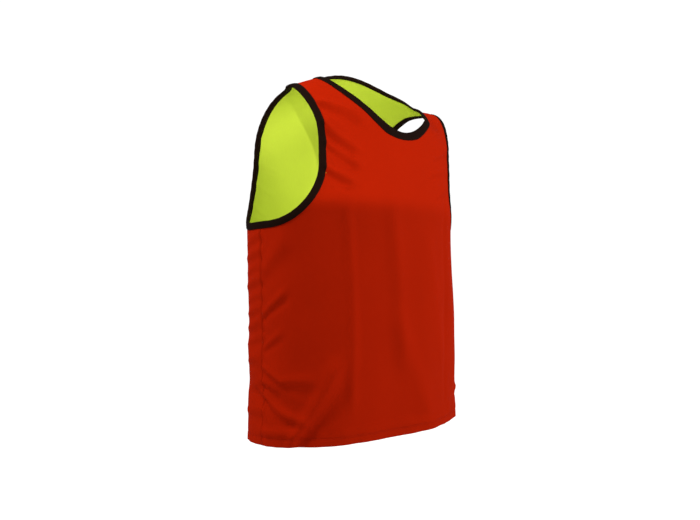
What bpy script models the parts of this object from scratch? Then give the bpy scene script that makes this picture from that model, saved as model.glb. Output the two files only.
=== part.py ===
"""Reversible training bib, as worn: two layers of light knitted cloth with bound edges.

A red layer lies over a yellow-green one. Each layer is a front and a back, joined at the
sides and the shoulders. Three folded bindings hold both layers along the neck and along
each armhole. The bib is open and hollow, and hangs as it does from a person's shoulders.

Frame, in metres: +X to the wearer's left, -Y to the wearer's front, +Z up. The origin is
midway between the two straps, level with the strap's underside at the neck.

The cloth is described on a pattern: "turn" is the angle round the body from the panel's
own centre, in radians and positive to the wearer's left, and "height" is the way up the
cloth from the hem. On the trunk it is the real height. Above the chest it follows the
cloth over to the shoulder seam.
"""

import math
from bisect import bisect_right
from dataclasses import dataclass
from functools import lru_cache
from typing import NamedTuple

import bpy
from mathutils import Vector

# Driving sizes, in metres.
LENGTH = 0.720  # from the hem to the strap's neck edge
CLOTH = 0.0010  # one layer's wall
GAP = 0.0003  # between layers and at seams
BINDING_WIDTH = 0.012  # how far a binding reaches onto the cloth
BINDING_CLOTH = 0.0010  # wall of the folded strip
BINDING_GAP = 0.0005  # between a binding and the cloth it is folded over
INNER_HEM_LIFT = 0.003  # the inner layer ends this far above the outer hem
UNDERARM_HEIGHT = 0.4265

# The shoulder line, which both panels meet on.
NECK_HALF_WIDTH = 0.1533
SHOULDER_HALF_WIDTH = 0.2157
SHOULDER_DROP = 0.0234  # from the strap's neck edge to its outer edge
NECK_RISE = 0.0500  # how far the line climbs from the straps to the nape
NECK_FORWARD = 0.0490  # how far the line lies in front of the side seams, at the neck
SHOULDER_FORWARD = 0.0329  # the same at the outer edge

BOTH_LAYERS = 2 * CLOTH + GAP
STEP = 0.002  # the reach of a slope measurement on the pattern
OVER_STEPS = 128  # steps in measuring the way over the shoulder
QUARTER = math.pi / 2


class Ring(NamedTuple):
    """One level section of the trunk."""

    height: float
    half_width: float
    front_depth: float
    back_depth: float


RINGS = (
    Ring(0.000, 0.2646, 0.1356, 0.1535),
    Ring(0.220, 0.2610, 0.1413, 0.1485),
    Ring(UNDERARM_HEIGHT, 0.2644, 0.1358, 0.1446),
    Ring(0.600, 0.2688, 0.1354, 0.1380),
)


class Fold(NamedTuple):
    """A soft fold along a line on the cloth.

    Bearings are degrees round the body from the front's centre, positive to the wearer's
    left. The rise is outwards, or inwards where it is negative.
    """

    low_bearing: float
    low_height: float
    high_bearing: float
    high_height: float
    width: float
    rise: float


FOLDS = (
    Fold(-60, 0.00, -52, 0.24, 0.030, -0.0035),
    Fold(-37, 0.02, -30, 0.30, 0.034, 0.0030),
    Fold(-9, 0.00, -6, 0.26, 0.026, -0.0035),
    Fold(15, 0.04, 11, 0.33, 0.030, 0.0025),
    Fold(42, 0.00, 36, 0.22, 0.028, -0.0030),
    Fold(66, 0.05, 60, 0.28, 0.030, 0.0025),
    Fold(-104, 0.105, -76, 0.080, 0.017, -0.0040),
    Fold(-106, 0.175, -78, 0.140, 0.020, 0.0030),
    Fold(104, 0.130, 78, 0.100, 0.018, -0.0035),
    Fold(102, 0.220, 80, 0.185, 0.022, 0.0028),
    Fold(126, 0.00, 134, 0.25, 0.032, -0.0040),
    Fold(150, 0.03, 155, 0.34, 0.030, 0.0030),
    Fold(176, 0.00, 172, 0.28, 0.028, -0.0040),
    Fold(-158, 0.05, -153, 0.36, 0.030, 0.0030),
    Fold(-134, 0.00, -140, 0.24, 0.030, -0.0035),
)
FOLD_GIRTH_RADIUS = 0.195  # turns a bearing into a distance round the body
FOLD_END = 0.045  # how gently a fold dies out past its ends


@dataclass(frozen=True)
class Cut:
    """The cut of one panel, and how it leaves the chest for the shoulder line."""

    name: str
    facing: int  # -1 for the front, +1 for the back
    squareness: float  # 2 is an ellipse, more is squarer
    chest_height: float  # above this the cloth turns towards the shoulder
    upright_pull: float  # how long it stays upright, as a share of the way up
    level_pull: float  # how long it lies level, as a share of the way back
    armhole_half_width: float
    armhole_curve_height: float  # from the underarm to where the edge runs upright
    underarm_pull: float
    upright_edge_pull: float
    shoulder_flare: float  # the edge widens to the shoulder's tip over this height
    armhole_corner: float  # share of the armhole's run where it turns upright
    strap_foot: float  # share of the armhole's run where the strap begins
    neck_depth: float
    neck_centre_pull: float
    neck_side_pull: float
    neck_corner: float  # share of half the neck's run from its centre to the strap
    yoke_rows: int  # rows between the armholes, up to the neck and the straps' feet
    strap_rows: int  # rows from a strap's foot to the shoulder seam

    @property
    def top(self):
        """Height of the shoulder seam on the pattern."""
        return self.chest_height + way_over(self)[-1]

    @property
    def neck_steps(self):
        """Steps along half the neck."""
        return NECK_STRIPS + self.strap_rows

    @property
    def armhole_steps(self):
        """Steps along one armhole."""
        return SIDE_STRIPS + self.yoke_rows + self.strap_rows


FRONT = Cut(
    name="front", facing=-1, squareness=2.128, chest_height=0.609,
    upright_pull=0.447, level_pull=0.428, armhole_half_width=0.1947,
    armhole_curve_height=0.1088, underarm_pull=0.300, upright_edge_pull=0.473,
    shoulder_flare=0.16, armhole_corner=0.22, strap_foot=0.72, neck_depth=0.1211,
    neck_centre_pull=0.524, neck_side_pull=0.356, neck_corner=0.60,
    yoke_rows=9, strap_rows=6,
)
BACK = Cut(
    name="back", facing=1, squareness=2.520, chest_height=0.586,
    upright_pull=0.617, level_pull=0.645, armhole_half_width=0.1897,
    armhole_curve_height=0.2955, underarm_pull=0.550, upright_edge_pull=0.541,
    shoulder_flare=0.065, armhole_corner=0.24, strap_foot=0.88, neck_depth=0.0514,
    neck_centre_pull=0.504, neck_side_pull=0.486, neck_corner=0.72,
    yoke_rows=12, strap_rows=4,
)

# How many strips the cloth is divided into.
NECK_STRIPS = 6  # below half the neck
STRAP_STRIPS = 3  # across one strap
SIDE_STRIPS = 5  # below one armhole
BODY_ROWS = 13  # from the hem to the foot of the yoke
YOKE_STRIPS = NECK_STRIPS + STRAP_STRIPS
HALF_STRIPS = YOKE_STRIPS + SIDE_STRIPS


def mix(low, high, share):
    """The value a share of the way from low to high."""
    return low + (high - low) * share


def smooth(share):
    """A share from 0 to 1, eased at both ends."""
    share = min(max(share, 0.0), 1.0)
    return share * share * (3 - 2 * share)


def bezier(points, share):
    """A point on a cubic Bezier curve, or a value where the points are numbers."""
    rest = 1 - share
    a, b, c, d = points
    return a * rest**3 + b * (3 * rest**2 * share) + c * (3 * rest * share**2) + d * share**3


# The trunk and the shoulder line.


def ring_size(column, height):
    """A column of RINGS at any height, on a smooth curve through the table's rows."""
    rows = RINGS
    height = min(max(height, rows[0].height), rows[-1].height)
    k = max(i for i in range(len(rows) - 1) if height >= rows[i].height or i == 0)

    def slope(i):
        low, high = rows[max(i - 1, 0)], rows[min(i + 1, len(rows) - 1)]
        rise = getattr(high, column) - getattr(low, column)
        return rise / (high.height - low.height)

    low, high = rows[k], rows[k + 1]
    span = high.height - low.height
    ends = getattr(low, column), getattr(high, column)
    pulls = ends[0] + slope(k) * span / 3, ends[1] - slope(k + 1) * span / 3
    return bezier((ends[0], *pulls, ends[1]), (height - low.height) / span)


def shoulder_line(x):
    """Point of the line that the front and the back meet on, above the given x."""
    across = abs(x)
    share = (across - NECK_HALF_WIDTH) / (SHOULDER_HALF_WIDTH - NECK_HALF_WIDTH)
    share = max(share, 0.0)
    inside = min(across / NECK_HALF_WIDTH, 1.0) ** 2
    slope = SHOULDER_DROP / (SHOULDER_HALF_WIDTH - NECK_HALF_WIDTH)
    bend = 1 - slope * NECK_HALF_WIDTH / (2 * NECK_RISE)
    rise = NECK_RISE * (1 - inside) * (1 - bend * inside)
    y = -mix(NECK_FORWARD, SHOULDER_FORWARD, share)
    return Vector((x, y, LENGTH - SHOULDER_DROP * share + rise))


def turn_at(cut, x, height):
    """The turn at which the panel reaches x, at a height on the pattern."""
    half_width = ring_size("half_width", min(height, cut.chest_height))
    share = min(abs(x) / half_width, 1.0)
    return math.copysign(math.asin(share ** (cut.squareness / 2)), x)


def ring_point(cut, turn, height):
    """Point of the trunk at a height, or of its highest ring above the chest."""
    level = min(height, cut.chest_height)
    power = 2 / cut.squareness
    half_width = ring_size("half_width", level)
    depth = ring_size(f"{cut.name}_depth", level)
    x = math.copysign(half_width * abs(math.sin(turn)) ** power, turn)
    return Vector((x, cut.facing * depth * max(math.cos(turn), 0.0) ** power, level))


def over_point(cut, chest, share):
    """Point on the curve from a point of the chest's ring over to the shoulder line."""
    seam = shoulder_line(chest.x)
    climb = seam.z - chest.z
    upright = chest + Vector((0, 0, cut.upright_pull * climb))
    level = seam + Vector((0, cut.level_pull * (chest.y - seam.y), 0))
    return bezier((chest, upright, level, seam), share)


@lru_cache
def way_over(cut):
    """Distances along the curve over the middle of a strap, at even shares of it."""
    middle = (NECK_HALF_WIDTH + SHOULDER_HALF_WIDTH) / 2
    chest = ring_point(cut, turn_at(cut, middle, cut.chest_height), cut.chest_height)
    spots = [over_point(cut, chest, k / OVER_STEPS) for k in range(OVER_STEPS + 1)]
    ways = [0.0]
    for spot, after in zip(spots, spots[1:]):
        ways.append(ways[-1] + (after - spot).length)
    return ways


def over_share(cut, way):
    """The share of the curve over the shoulder at a distance above the chest."""
    ways = way_over(cut)
    k = min(bisect_right(ways, way), OVER_STEPS) - 1
    return min((k + (way - ways[k]) / (ways[k + 1] - ways[k])) / OVER_STEPS, 1.0)


def plain_point(cut, turn, height):
    """Point of the outer face, before folds, with heights from the hem."""
    point = ring_point(cut, turn, height)
    if height <= cut.chest_height:
        return point
    return over_point(cut, point, over_share(cut, height - cut.chest_height))


# Folds and slopes.


def fold_rise(cut, turn, height):
    """How far the folds push the cloth outwards at a pattern point."""
    bearing = math.degrees(turn)
    if cut.facing > 0:
        bearing = math.copysign(180, bearing) - bearing
    total = 0.0
    for fold in FOLDS:
        low = Vector((math.radians(fold.low_bearing) * FOLD_GIRTH_RADIUS, fold.low_height))
        high = Vector((math.radians(fold.high_bearing) * FOLD_GIRTH_RADIUS, fold.high_height))
        middle = (fold.low_bearing + fold.high_bearing) / 2
        near = middle + (bearing - middle + 180) % 360 - 180
        here = Vector((math.radians(near) * FOLD_GIRTH_RADIUS, height))
        along = (high - low).normalized()
        run = (here - low).dot(along)
        aside = (here - low - along * run).length
        past = max(-run, run - (high - low).length, 0.0)
        total += fold.rise * math.exp(-((aside / fold.width) ** 2) - (past / FOLD_END) ** 2)
    return total


def slope_normal(place, cut, turn, height):
    """The outward normal of place(cut, turn, height), from the points around it."""
    girth = STEP / FOLD_GIRTH_RADIUS
    right = place(cut, min(turn + girth, QUARTER), height)
    left = place(cut, max(turn - girth, -QUARTER), height)
    above = place(cut, turn, min(height + STEP, cut.top))
    below = place(cut, turn, max(height - STEP, 0.0))
    normal = (right - left).cross(above - below) * -cut.facing
    if abs(turn) > QUARTER - girth or height > cut.top - STEP:
        normal.y = 0.0  # both panels share one normal along their seams
    return normal.normalized()


def folded_point(cut, turn, height):
    """Point of the outer face with its folds, heights from the hem."""
    point = plain_point(cut, turn, height)
    return point + slope_normal(plain_point, cut, turn, height) * fold_rise(cut, turn, height)


def cloth_point(cut, turn, height):
    """Point of the outer face and its normal, in the part's frame.

    A point on a seam stands back from it by half of the gap.
    """
    point = folded_point(cut, turn, height)
    normal = slope_normal(folded_point, cut, turn, height)
    seam_y = shoulder_line(point.x).y if height > cut.chest_height else 0.0
    point.y = seam_y + cut.facing * max(abs(point.y - seam_y), GAP / 2)
    point.z -= LENGTH - BOTH_LAYERS
    return point, normal


# The edges of the cut, as pattern points (x, height).


def armhole_edge(cut, share, inset):
    """Right-hand side of the wearer's left armhole, from the underarm to the shoulder."""
    half_width = ring_size("half_width", UNDERARM_HEIGHT)
    low = UNDERARM_HEIGHT - inset
    high = UNDERARM_HEIGHT + cut.armhole_curve_height
    edge = cut.armhole_half_width - inset
    curve = (
        Vector((half_width, low)),
        Vector((mix(half_width, edge, cut.underarm_pull), low)),
        Vector((edge, mix(high, low, cut.upright_edge_pull))),
        Vector((edge, high)),
    )
    curve_length = (half_width - edge + high - low) * 0.8
    straight_length = cut.top - high
    turn_over = curve_length / (curve_length + straight_length)
    if share <= turn_over:
        spot = bezier(curve, share / turn_over)
    else:
        spot = Vector((edge, mix(high, cut.top, (share - turn_over) / (1 - turn_over))))
    flare = smooth(1 - (cut.top - spot.y) / cut.shoulder_flare)
    spot.x += (SHOULDER_HALF_WIDTH - cut.armhole_half_width) * flare
    return spot


def neck_edge(cut, share, inset):
    """Half of the neck, from its centre to the wearer's left shoulder."""
    low = cut.top - cut.neck_depth - inset
    side = NECK_HALF_WIDTH + inset
    curve = (
        Vector((0.0, low)),
        Vector((cut.neck_centre_pull * side, low)),
        Vector((side, mix(cut.top, low, cut.neck_side_pull))),
        Vector((side, cut.top)),
    )
    return bezier(curve, share)


def armhole_share(cut, step):
    """How far along its run a step of the armhole lies."""
    if step <= SIDE_STRIPS:
        return cut.armhole_corner * step / SIDE_STRIPS
    step -= SIDE_STRIPS
    if step <= cut.yoke_rows:
        return mix(cut.armhole_corner, cut.strap_foot, step / cut.yoke_rows)
    return mix(cut.strap_foot, 1.0, (step - cut.yoke_rows) / cut.strap_rows)


def neck_share(cut, step):
    """How far along its run a step of half the neck lies."""
    if step <= NECK_STRIPS:
        return cut.neck_corner * step / NECK_STRIPS
    return mix(cut.neck_corner, 1.0, (step - NECK_STRIPS) / cut.strap_rows)


def body_top(cut, strip):
    """Where a lengthwise strip of the body ends: on the yoke's foot or at an armhole."""
    if strip >= YOKE_STRIPS:
        return armhole_edge(cut, armhole_share(cut, HALF_STRIPS - strip), BINDING_WIDTH)
    corner = armhole_edge(cut, cut.armhole_corner, BINDING_WIDTH)
    return Vector((corner.x * strip / YOKE_STRIPS, corner.y))


def yoke_top(cut, strip):
    """Where a lengthwise strip of the yoke ends: below the neck or on a strap's foot."""
    if strip <= NECK_STRIPS:
        return neck_edge(cut, neck_share(cut, strip), BINDING_WIDTH)
    inner = neck_edge(cut, cut.neck_corner, BINDING_WIDTH)
    outer = armhole_edge(cut, cut.strap_foot, BINDING_WIDTH)
    return inner.lerp(outer, (strip - NECK_STRIPS) / STRAP_STRIPS)


def yoke_spot(cut, strip, row):
    """A point of the yoke, which follows the armhole as much as it is near it."""
    share = row / cut.yoke_rows
    corner, foot = body_top(cut, YOKE_STRIPS), yoke_top(cut, YOKE_STRIPS)
    edge = armhole_edge(cut, armhole_share(cut, SIDE_STRIPS + row), BINDING_WIDTH)
    spot = body_top(cut, strip).lerp(yoke_top(cut, strip), share)
    return spot + (edge - corner.lerp(foot, share)) * (strip / YOKE_STRIPS)


def strap_spot(cut, across, row):
    """A point of a strap, between the neck's inset line and the armhole's."""
    inner = neck_edge(cut, neck_share(cut, NECK_STRIPS + row), BINDING_WIDTH)
    reach = armhole_share(cut, SIDE_STRIPS + cut.yoke_rows + row)
    return inner.lerp(armhole_edge(cut, reach, BINDING_WIDTH), across / STRAP_STRIPS)


# A panel's sheet of quads.


class Sheet:
    """A panel's vertices on the pattern, and its quads.

    The strips under the bindings follow the edge step by step, so that a binding made
    from the same steps has the same facets and lies flat on them.
    """

    def __init__(self, cut, hem_lift=0.0):
        self.cut = cut
        self.pattern = []  # (turn, height) of each vertex
        self.quads = []
        self.index = {}
        self.make_body(hem_lift)
        self.make_yoke()
        self.make_straps()
        self.make_edges()

    def vertex(self, key, turn, height):
        """Add a vertex under a key that the quads find it by."""
        self.index[key] = len(self.pattern)
        self.pattern.append((turn, height))

    def spot(self, key, side, spot):
        """Add a vertex at a pattern point (x, height) of the left half, on either side."""
        x, height = spot
        self.vertex(key, turn_at(self.cut, x * side, height), height)

    def quad(self, keys, turned=False):
        """Add a quad, keeping its diagonal from the first vertex if it is turned over."""
        a, b, c, d = (self.index[key] for key in keys)
        turned = turned != (self.cut.facing > 0)
        self.quads.append((a, d, c, b) if turned else (a, b, c, d))

    def quad_grid(self, name, columns, rows, turned=False):
        """Quads between the vertices (*name, column, row) of a block."""
        for i in columns:
            for j in range(rows):
                corners = ((i, j), (i + 1, j), (i + 1, j + 1), (i, j + 1))
                self.quad([(*name, *corner) for corner in corners], turned)

    def make_body(self, hem_lift):
        """The strips from the hem up to the yoke and the armholes' lower curves."""
        for strip in range(-HALF_STRIPS, HALF_STRIPS + 1):
            x, top = body_top(self.cut, abs(strip))
            even_turn = QUARTER * strip / HALF_STRIPS
            on_seam = abs(strip) == HALF_STRIPS
            top_turn = even_turn if on_seam else turn_at(self.cut, math.copysign(x, strip), top)
            hem_turn = mix(top_turn, even_turn, 0.6)
            for row in range(BODY_ROWS + 1):
                share = row / BODY_ROWS
                turn = mix(hem_turn, top_turn, smooth(share))
                self.vertex(("body", strip, row), turn, max(top * share, hem_lift))
        self.quad_grid(("body",), range(-HALF_STRIPS, HALF_STRIPS), BODY_ROWS)

    def make_yoke(self):
        """The block between the armholes, up to the neck and the straps' feet."""
        for strip in range(-YOKE_STRIPS, YOKE_STRIPS + 1):
            self.index["yoke", strip, 0] = self.index["body", strip, BODY_ROWS]
            for row in range(1, self.cut.yoke_rows + 1):
                spot = yoke_spot(self.cut, abs(strip), row)
                self.spot(("yoke", strip, row), math.copysign(1, strip), spot)
        self.quad_grid(("yoke",), range(-YOKE_STRIPS, YOKE_STRIPS), self.cut.yoke_rows)

    def make_straps(self):
        """The two straps, from the yoke's top row to the shoulder seam."""
        for side in (-1, 1):
            for across in range(STRAP_STRIPS + 1):
                foot = ("yoke", side * (NECK_STRIPS + across), self.cut.yoke_rows)
                self.index["strap", side, across, 0] = self.index[foot]
                for row in range(1, self.cut.strap_rows + 1):
                    spot = strap_spot(self.cut, across, row)
                    self.spot(("strap", side, across, row), side, spot)
            self.quad_grid(("strap", side), range(STRAP_STRIPS), self.cut.strap_rows, side < 0)

    def neck_inset(self, step):
        """The key of the vertex a binding's width in from a step of the neck."""
        if abs(step) <= NECK_STRIPS:
            return "yoke", step, self.cut.yoke_rows
        return "strap", (1 if step > 0 else -1), 0, abs(step) - NECK_STRIPS

    def armhole_inset(self, side, step):
        """The key of the vertex a binding's width in from a step of an armhole."""
        if step <= SIDE_STRIPS:
            return "body", side * (HALF_STRIPS - step), BODY_ROWS
        step -= SIDE_STRIPS
        if step <= self.cut.yoke_rows:
            return "yoke", side * YOKE_STRIPS, step
        return "strap", side, STRAP_STRIPS, step - self.cut.yoke_rows

    def neck_run(self):
        """Edge and inset keys along the neck, the front's to the left, the back's to the right."""
        steps = range(-self.cut.neck_steps, self.cut.neck_steps + 1)
        return [(("neck", s), self.neck_inset(s)) for s in steps][:: -self.cut.facing]

    def armhole_run(self, side):
        """Edge and inset keys along an armhole, the front's upwards, the back's downwards."""
        steps = range(self.cut.armhole_steps + 1)
        run = [(("armhole", side, s), self.armhole_inset(side, s)) for s in steps]
        return run[:: -self.cut.facing]

    def make_edges(self):
        """The strips between the inset lines and the cut edges."""
        for step in range(-self.cut.neck_steps, self.cut.neck_steps + 1):
            edge = neck_edge(self.cut, neck_share(self.cut, abs(step)), 0.0)
            self.spot(("neck", step), math.copysign(1, step), edge)
        for side in (-1, 1):
            for step in range(self.cut.armhole_steps + 1):
                edge = armhole_edge(self.cut, armhole_share(self.cut, step), 0.0)
                self.spot(("armhole", side, step), side, edge)
        self.edge_strip(self.neck_run())
        self.edge_strip(self.armhole_run(-1))
        self.edge_strip(self.armhole_run(1), turned=True)

    def edge_strip(self, run, turned=False):
        """Quads along a run. The run's direction already turns the back's over."""
        turned = turned != (self.cut.facing > 0)
        for (edge, inset), (next_edge, next_inset) in zip(run, run[1:]):
            self.quad((inset, next_inset, next_edge, edge), turned)

    def surface(self):
        """Point and normal of every vertex."""
        return [cloth_point(self.cut, *spot) for spot in self.pattern]


# Solids.


def make_object(name, points, faces, material, collection):
    """A smooth-shaded mesh object in the part's collection."""
    mesh = bpy.data.meshes.new(name)
    mesh.from_pydata(points, [], faces)
    mesh.materials.append(material)
    mesh.shade_smooth()
    thing = bpy.data.objects.new(name, mesh)
    collection.objects.link(thing)
    return thing


def make_panel(name, sheet, depth, material, collection):
    """A panel's wall: its outer face lies depth below the garment's outer face."""
    surface = sheet.surface()
    count = len(surface)
    points = [point - normal * depth for point, normal in surface]
    points += [point - normal * (depth + CLOTH) for point, normal in surface]
    faces = list(sheet.quads)
    faces += [tuple(v + count for v in (a, d, c, b)) for a, b, c, d in sheet.quads]
    sides = {(quad[i - 1], quad[i]) for quad in sheet.quads for i in range(4)}
    rim = [(u, v) for u, v in sorted(sides) if (v, u) not in sides]
    faces += [(v, u, u + count, v + count) for u, v in rim]
    return make_object(name, points, faces, material, collection)


def binding_section(edge, inset):
    """The folded strip's section at one step: a U round both layers' edge."""
    (edge_point, edge_normal), (inset_point, inset_normal) = edge, inset
    outward = edge_point - inset_point
    outward -= edge_normal * outward.dot(edge_normal)
    outward.normalize()
    near, far = BINDING_GAP, BINDING_GAP + BINDING_CLOTH
    return (
        inset_point + inset_normal * far,
        edge_point + edge_normal * far + outward * far,
        edge_point - edge_normal * (BOTH_LAYERS + far) + outward * far,
        inset_point - inset_normal * (BOTH_LAYERS + far),
        inset_point - inset_normal * (BOTH_LAYERS + near),
        edge_point - edge_normal * (BOTH_LAYERS + near) + outward * near,
        edge_point + edge_normal * near + outward * near,
        inset_point + inset_normal * near,
    )


def make_binding(name, runs, turned, material, collection):
    """A binding: one closed loop of sections along the front's run and the back's.

    Each run is a sheet with its list of edge and inset keys. The two sheets meet at
    seams, where their end steps are one place, so the second run leaves its own out.
    """
    sections = []
    for sheet, run in runs:
        keys = run if not sections else run[1:-1]
        for edge, inset in keys:
            spots = [cloth_point(sheet.cut, *sheet.pattern[sheet.index[key]]) for key in (edge, inset)]
            sections.append(binding_section(*spots))
    points = [point for section in sections for point in section]
    size = len(sections[0])
    faces = []
    for ring in range(len(sections)):
        here, there = ring * size, (ring + 1) % len(sections) * size
        for k in range(size):
            k2 = (k + 1) % size
            a, b, c, d = here + k, there + k, there + k2, here + k2
            if k == size - 2:  # the face on the cloth's outer side keeps the cloth's diagonal
                a, b, c, d = b, c, d, a
            faces.append((a, d, c, b) if turned else (a, b, c, d))
    return make_object(name, points, faces, material, collection)


# Materials, and the whole part.


def make_material(name, color, roughness):
    """A plain cloth finish."""
    material = bpy.data.materials.new(name)
    material.use_nodes = True
    shader = material.node_tree.nodes["Principled BSDF"]
    shader.inputs["Base Color"].default_value = (*color, 1.0)
    shader.inputs["Roughness"].default_value = roughness
    shader.inputs["Metallic"].default_value = 0.0
    material.diffuse_color = (*color, 1.0)
    return material


def clear_scene():
    """Remove whatever the file holds."""
    for thing in list(bpy.data.objects):
        bpy.data.objects.remove(thing, do_unlink=True)


def main():
    clear_scene()
    collection = bpy.data.collections.new("reversible_training_bib")
    bpy.context.scene.collection.children.link(collection)
    red = make_material("red_knit", (0.46, 0.018, 0.002), 0.75)
    lime = make_material("yellow_green_knit", (0.50, 0.66, 0.045), 0.75)
    black = make_material("black_binding", (0.008, 0.007, 0.006), 0.65)
    outer_sheets = [Sheet(cut) for cut in (FRONT, BACK)]
    for cut, sheet in zip((FRONT, BACK), outer_sheets):
        make_panel(f"{cut.name}_outer", sheet, 0.0, red, collection)
        inner_sheet = Sheet(cut, INNER_HEM_LIFT)
        make_panel(f"{cut.name}_inner", inner_sheet, CLOTH + GAP, lime, collection)
    neck_runs = [(sheet, sheet.neck_run()) for sheet in outer_sheets]
    make_binding("neck_binding", neck_runs, False, black, collection)
    for side, word in ((-1, "right"), (1, "left")):
        runs = [(sheet, sheet.armhole_run(side)) for sheet in outer_sheets]
        make_binding(f"armhole_binding_{word}", runs, side > 0, black, collection)


main()
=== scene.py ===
"""Looks of a reversible training bib: knitted cloth, folded bindings, seams and stitches.

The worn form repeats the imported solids' sizes at a finer step, and adds the small creases
that light knit takes at the armholes, along the side seams and above the hem. Lengths are in
metres. +X is the wearer's left, -Y the wearer's front and +Z is up. A place on the cloth is a
bearing round the body, in degrees from the front's centre and positive to the wearer's left,
and a height up the cloth from the hem.
"""

import logging
import math
from collections.abc import Callable, Sequence
from dataclasses import dataclass, replace
from enum import Enum
from functools import cached_property
from typing import NamedTuple

import bpy
import numpy as np
from mathutils import Matrix, Vector


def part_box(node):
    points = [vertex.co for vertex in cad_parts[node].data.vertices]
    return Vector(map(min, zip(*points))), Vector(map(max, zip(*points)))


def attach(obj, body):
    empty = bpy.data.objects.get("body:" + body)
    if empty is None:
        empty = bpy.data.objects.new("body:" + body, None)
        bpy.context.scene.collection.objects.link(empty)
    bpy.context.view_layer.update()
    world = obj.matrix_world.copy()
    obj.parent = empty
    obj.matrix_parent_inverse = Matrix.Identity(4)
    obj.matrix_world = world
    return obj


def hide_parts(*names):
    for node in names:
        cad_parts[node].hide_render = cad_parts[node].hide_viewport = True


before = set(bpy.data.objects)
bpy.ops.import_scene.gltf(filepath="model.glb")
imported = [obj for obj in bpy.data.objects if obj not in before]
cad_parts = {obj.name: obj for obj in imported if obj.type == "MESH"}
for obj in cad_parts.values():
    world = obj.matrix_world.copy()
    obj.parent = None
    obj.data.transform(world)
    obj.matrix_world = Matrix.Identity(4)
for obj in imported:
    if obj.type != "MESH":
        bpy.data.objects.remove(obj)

LOG = logging.getLogger("training_bib")
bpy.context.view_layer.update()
HEM_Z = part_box("front_outer")[0].z  # the hem's level in the part's frame
UV_NAME = "cloth"  # girth and height on the cloth, in metres
FRAME_WIDTH = 700  # the photograph's width in pixels
QUARTER = math.pi / 2

Array = np.ndarray
Color = tuple[float, float, float]


# Small pieces of arithmetic.


def mix(low: Array | float, high: Array | float, share: Array | float) -> Array | float:
    """The value a share of the way from low to high."""
    return low + (high - low) * share


def smooth(share: Array | float) -> Array:
    """A share from 0 to 1, eased at both ends."""
    share = np.clip(share, 0.0, 1.0)
    return share * share * (3 - 2 * share)


def ramp(value: Array, start: float, way: float) -> Array:
    """An eased share from 0 at the start to 1 at its way past it, which may lead down."""
    return smooth((value - start) / way)


def bezier(points: Sequence, share: Array) -> Array:
    """Values on a cubic Bezier curve.

    Args:
        points: The four control values, numbers or arrays as long as share.
        share: Shares of the curve, from 0 to 1.

    Returns:
        One value for each share.
    """
    a, b, c, d = points
    rest = 1 - share
    return a * rest**3 + 3 * b * rest**2 * share + 3 * c * rest * share**2 + d * share**3


def bell(distance: Array, width: Array | float) -> Array:
    """A soft bump of height 1, which falls to about a third at its width."""
    return np.exp(-((distance / width) ** 2))


def unit(vectors: Array) -> Array:
    """Rows of vectors, each made one long."""
    return vectors / np.maximum(np.linalg.norm(vectors, axis=-1, keepdims=True), 1e-12)


def way_along(points: Array) -> Array:
    """The way from the first of some points to each, from one to the next."""
    return np.concatenate([[0.0], np.cumsum(np.linalg.norm(np.diff(points, axis=0), axis=1))])


def pairs(first: Array, second: Array) -> tuple[Array, ...]:
    """Every pair of two sets of values, with the second's running fastest."""
    return tuple(grid.ravel() for grid in np.meshgrid(first, second, indexing="ij"))


def mirrored(half: Array) -> Array:
    """Values from minus the last to the last, from a half that starts at nothing."""
    return np.concatenate([-half[:0:-1], half])


# The worn form, as in the solids.


class Facing(Enum):
    """Which side of the body a panel covers."""

    FRONT = -1
    BACK = 1


class Ring(NamedTuple):
    """One level section of the trunk."""

    height: float
    half_width: float
    front_depth: float
    back_depth: float


@dataclass(frozen=True)
class WornForm:
    """The trunk's sections, and the shoulder line that both panels meet on."""

    length: float = 0.720
    wall: float = 0.0010
    gap: float = 0.0003
    underarm_height: float = 0.4265
    neck_half_width: float = 0.1533
    shoulder_half_width: float = 0.2157
    shoulder_drop: float = 0.0234
    neck_rise: float = 0.0500
    neck_forward: float = 0.0490
    shoulder_forward: float = 0.0329
    rings: tuple[Ring, ...] = (
        Ring(0.000, 0.2646, 0.1356, 0.1535),
        Ring(0.220, 0.2610, 0.1413, 0.1485),
        Ring(0.4265, 0.2644, 0.1358, 0.1446),
        Ring(0.600, 0.2688, 0.1354, 0.1380),
    )

    @property
    def both_layers(self) -> float:
        """Thickness of the two layers and the gap between them."""
        return 2 * self.wall + self.gap

    def ring_size(self, column: str, height: Array) -> Array:
        """A column of the rings at any height, on a smooth curve through the rows.

        Args:
            column: The column's name in Ring.
            height: Heights above the hem.

        Returns:
            The column's value at each height.
        """
        heights = np.array([ring.height for ring in self.rings])
        values = np.array([getattr(ring, column) for ring in self.rings])
        last = len(heights) - 1
        low = np.maximum(np.arange(last + 1) - 1, 0)
        high = np.minimum(np.arange(last + 1) + 1, last)
        slopes = (values[high] - values[low]) / (heights[high] - heights[low])
        height = np.clip(height, heights[0], heights[-1])
        k = np.clip(np.searchsorted(heights, height, side="right") - 1, 0, last - 1)
        span = heights[k + 1] - heights[k]
        pulls = (values[k] + slopes[k] * span / 3, values[k + 1] - slopes[k + 1] * span / 3)
        return bezier((values[k], *pulls, values[k + 1]), (height - heights[k]) / span)

    def shoulder_line(self, x: Array) -> Array:
        """Points of the line that the front and the back meet on, above each x."""
        across = np.abs(x)
        width = self.shoulder_half_width - self.neck_half_width
        share = np.maximum((across - self.neck_half_width) / width, 0.0)
        inside = np.minimum(across / self.neck_half_width, 1.0) ** 2
        bend = 1 - self.shoulder_drop / width * self.neck_half_width / (2 * self.neck_rise)
        rise = self.neck_rise * (1 - inside) * (1 - bend * inside)
        y = -mix(self.neck_forward, self.shoulder_forward, share)
        return np.stack([x, y, self.length - self.shoulder_drop * share + rise], axis=-1)


FORM = WornForm()


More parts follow.
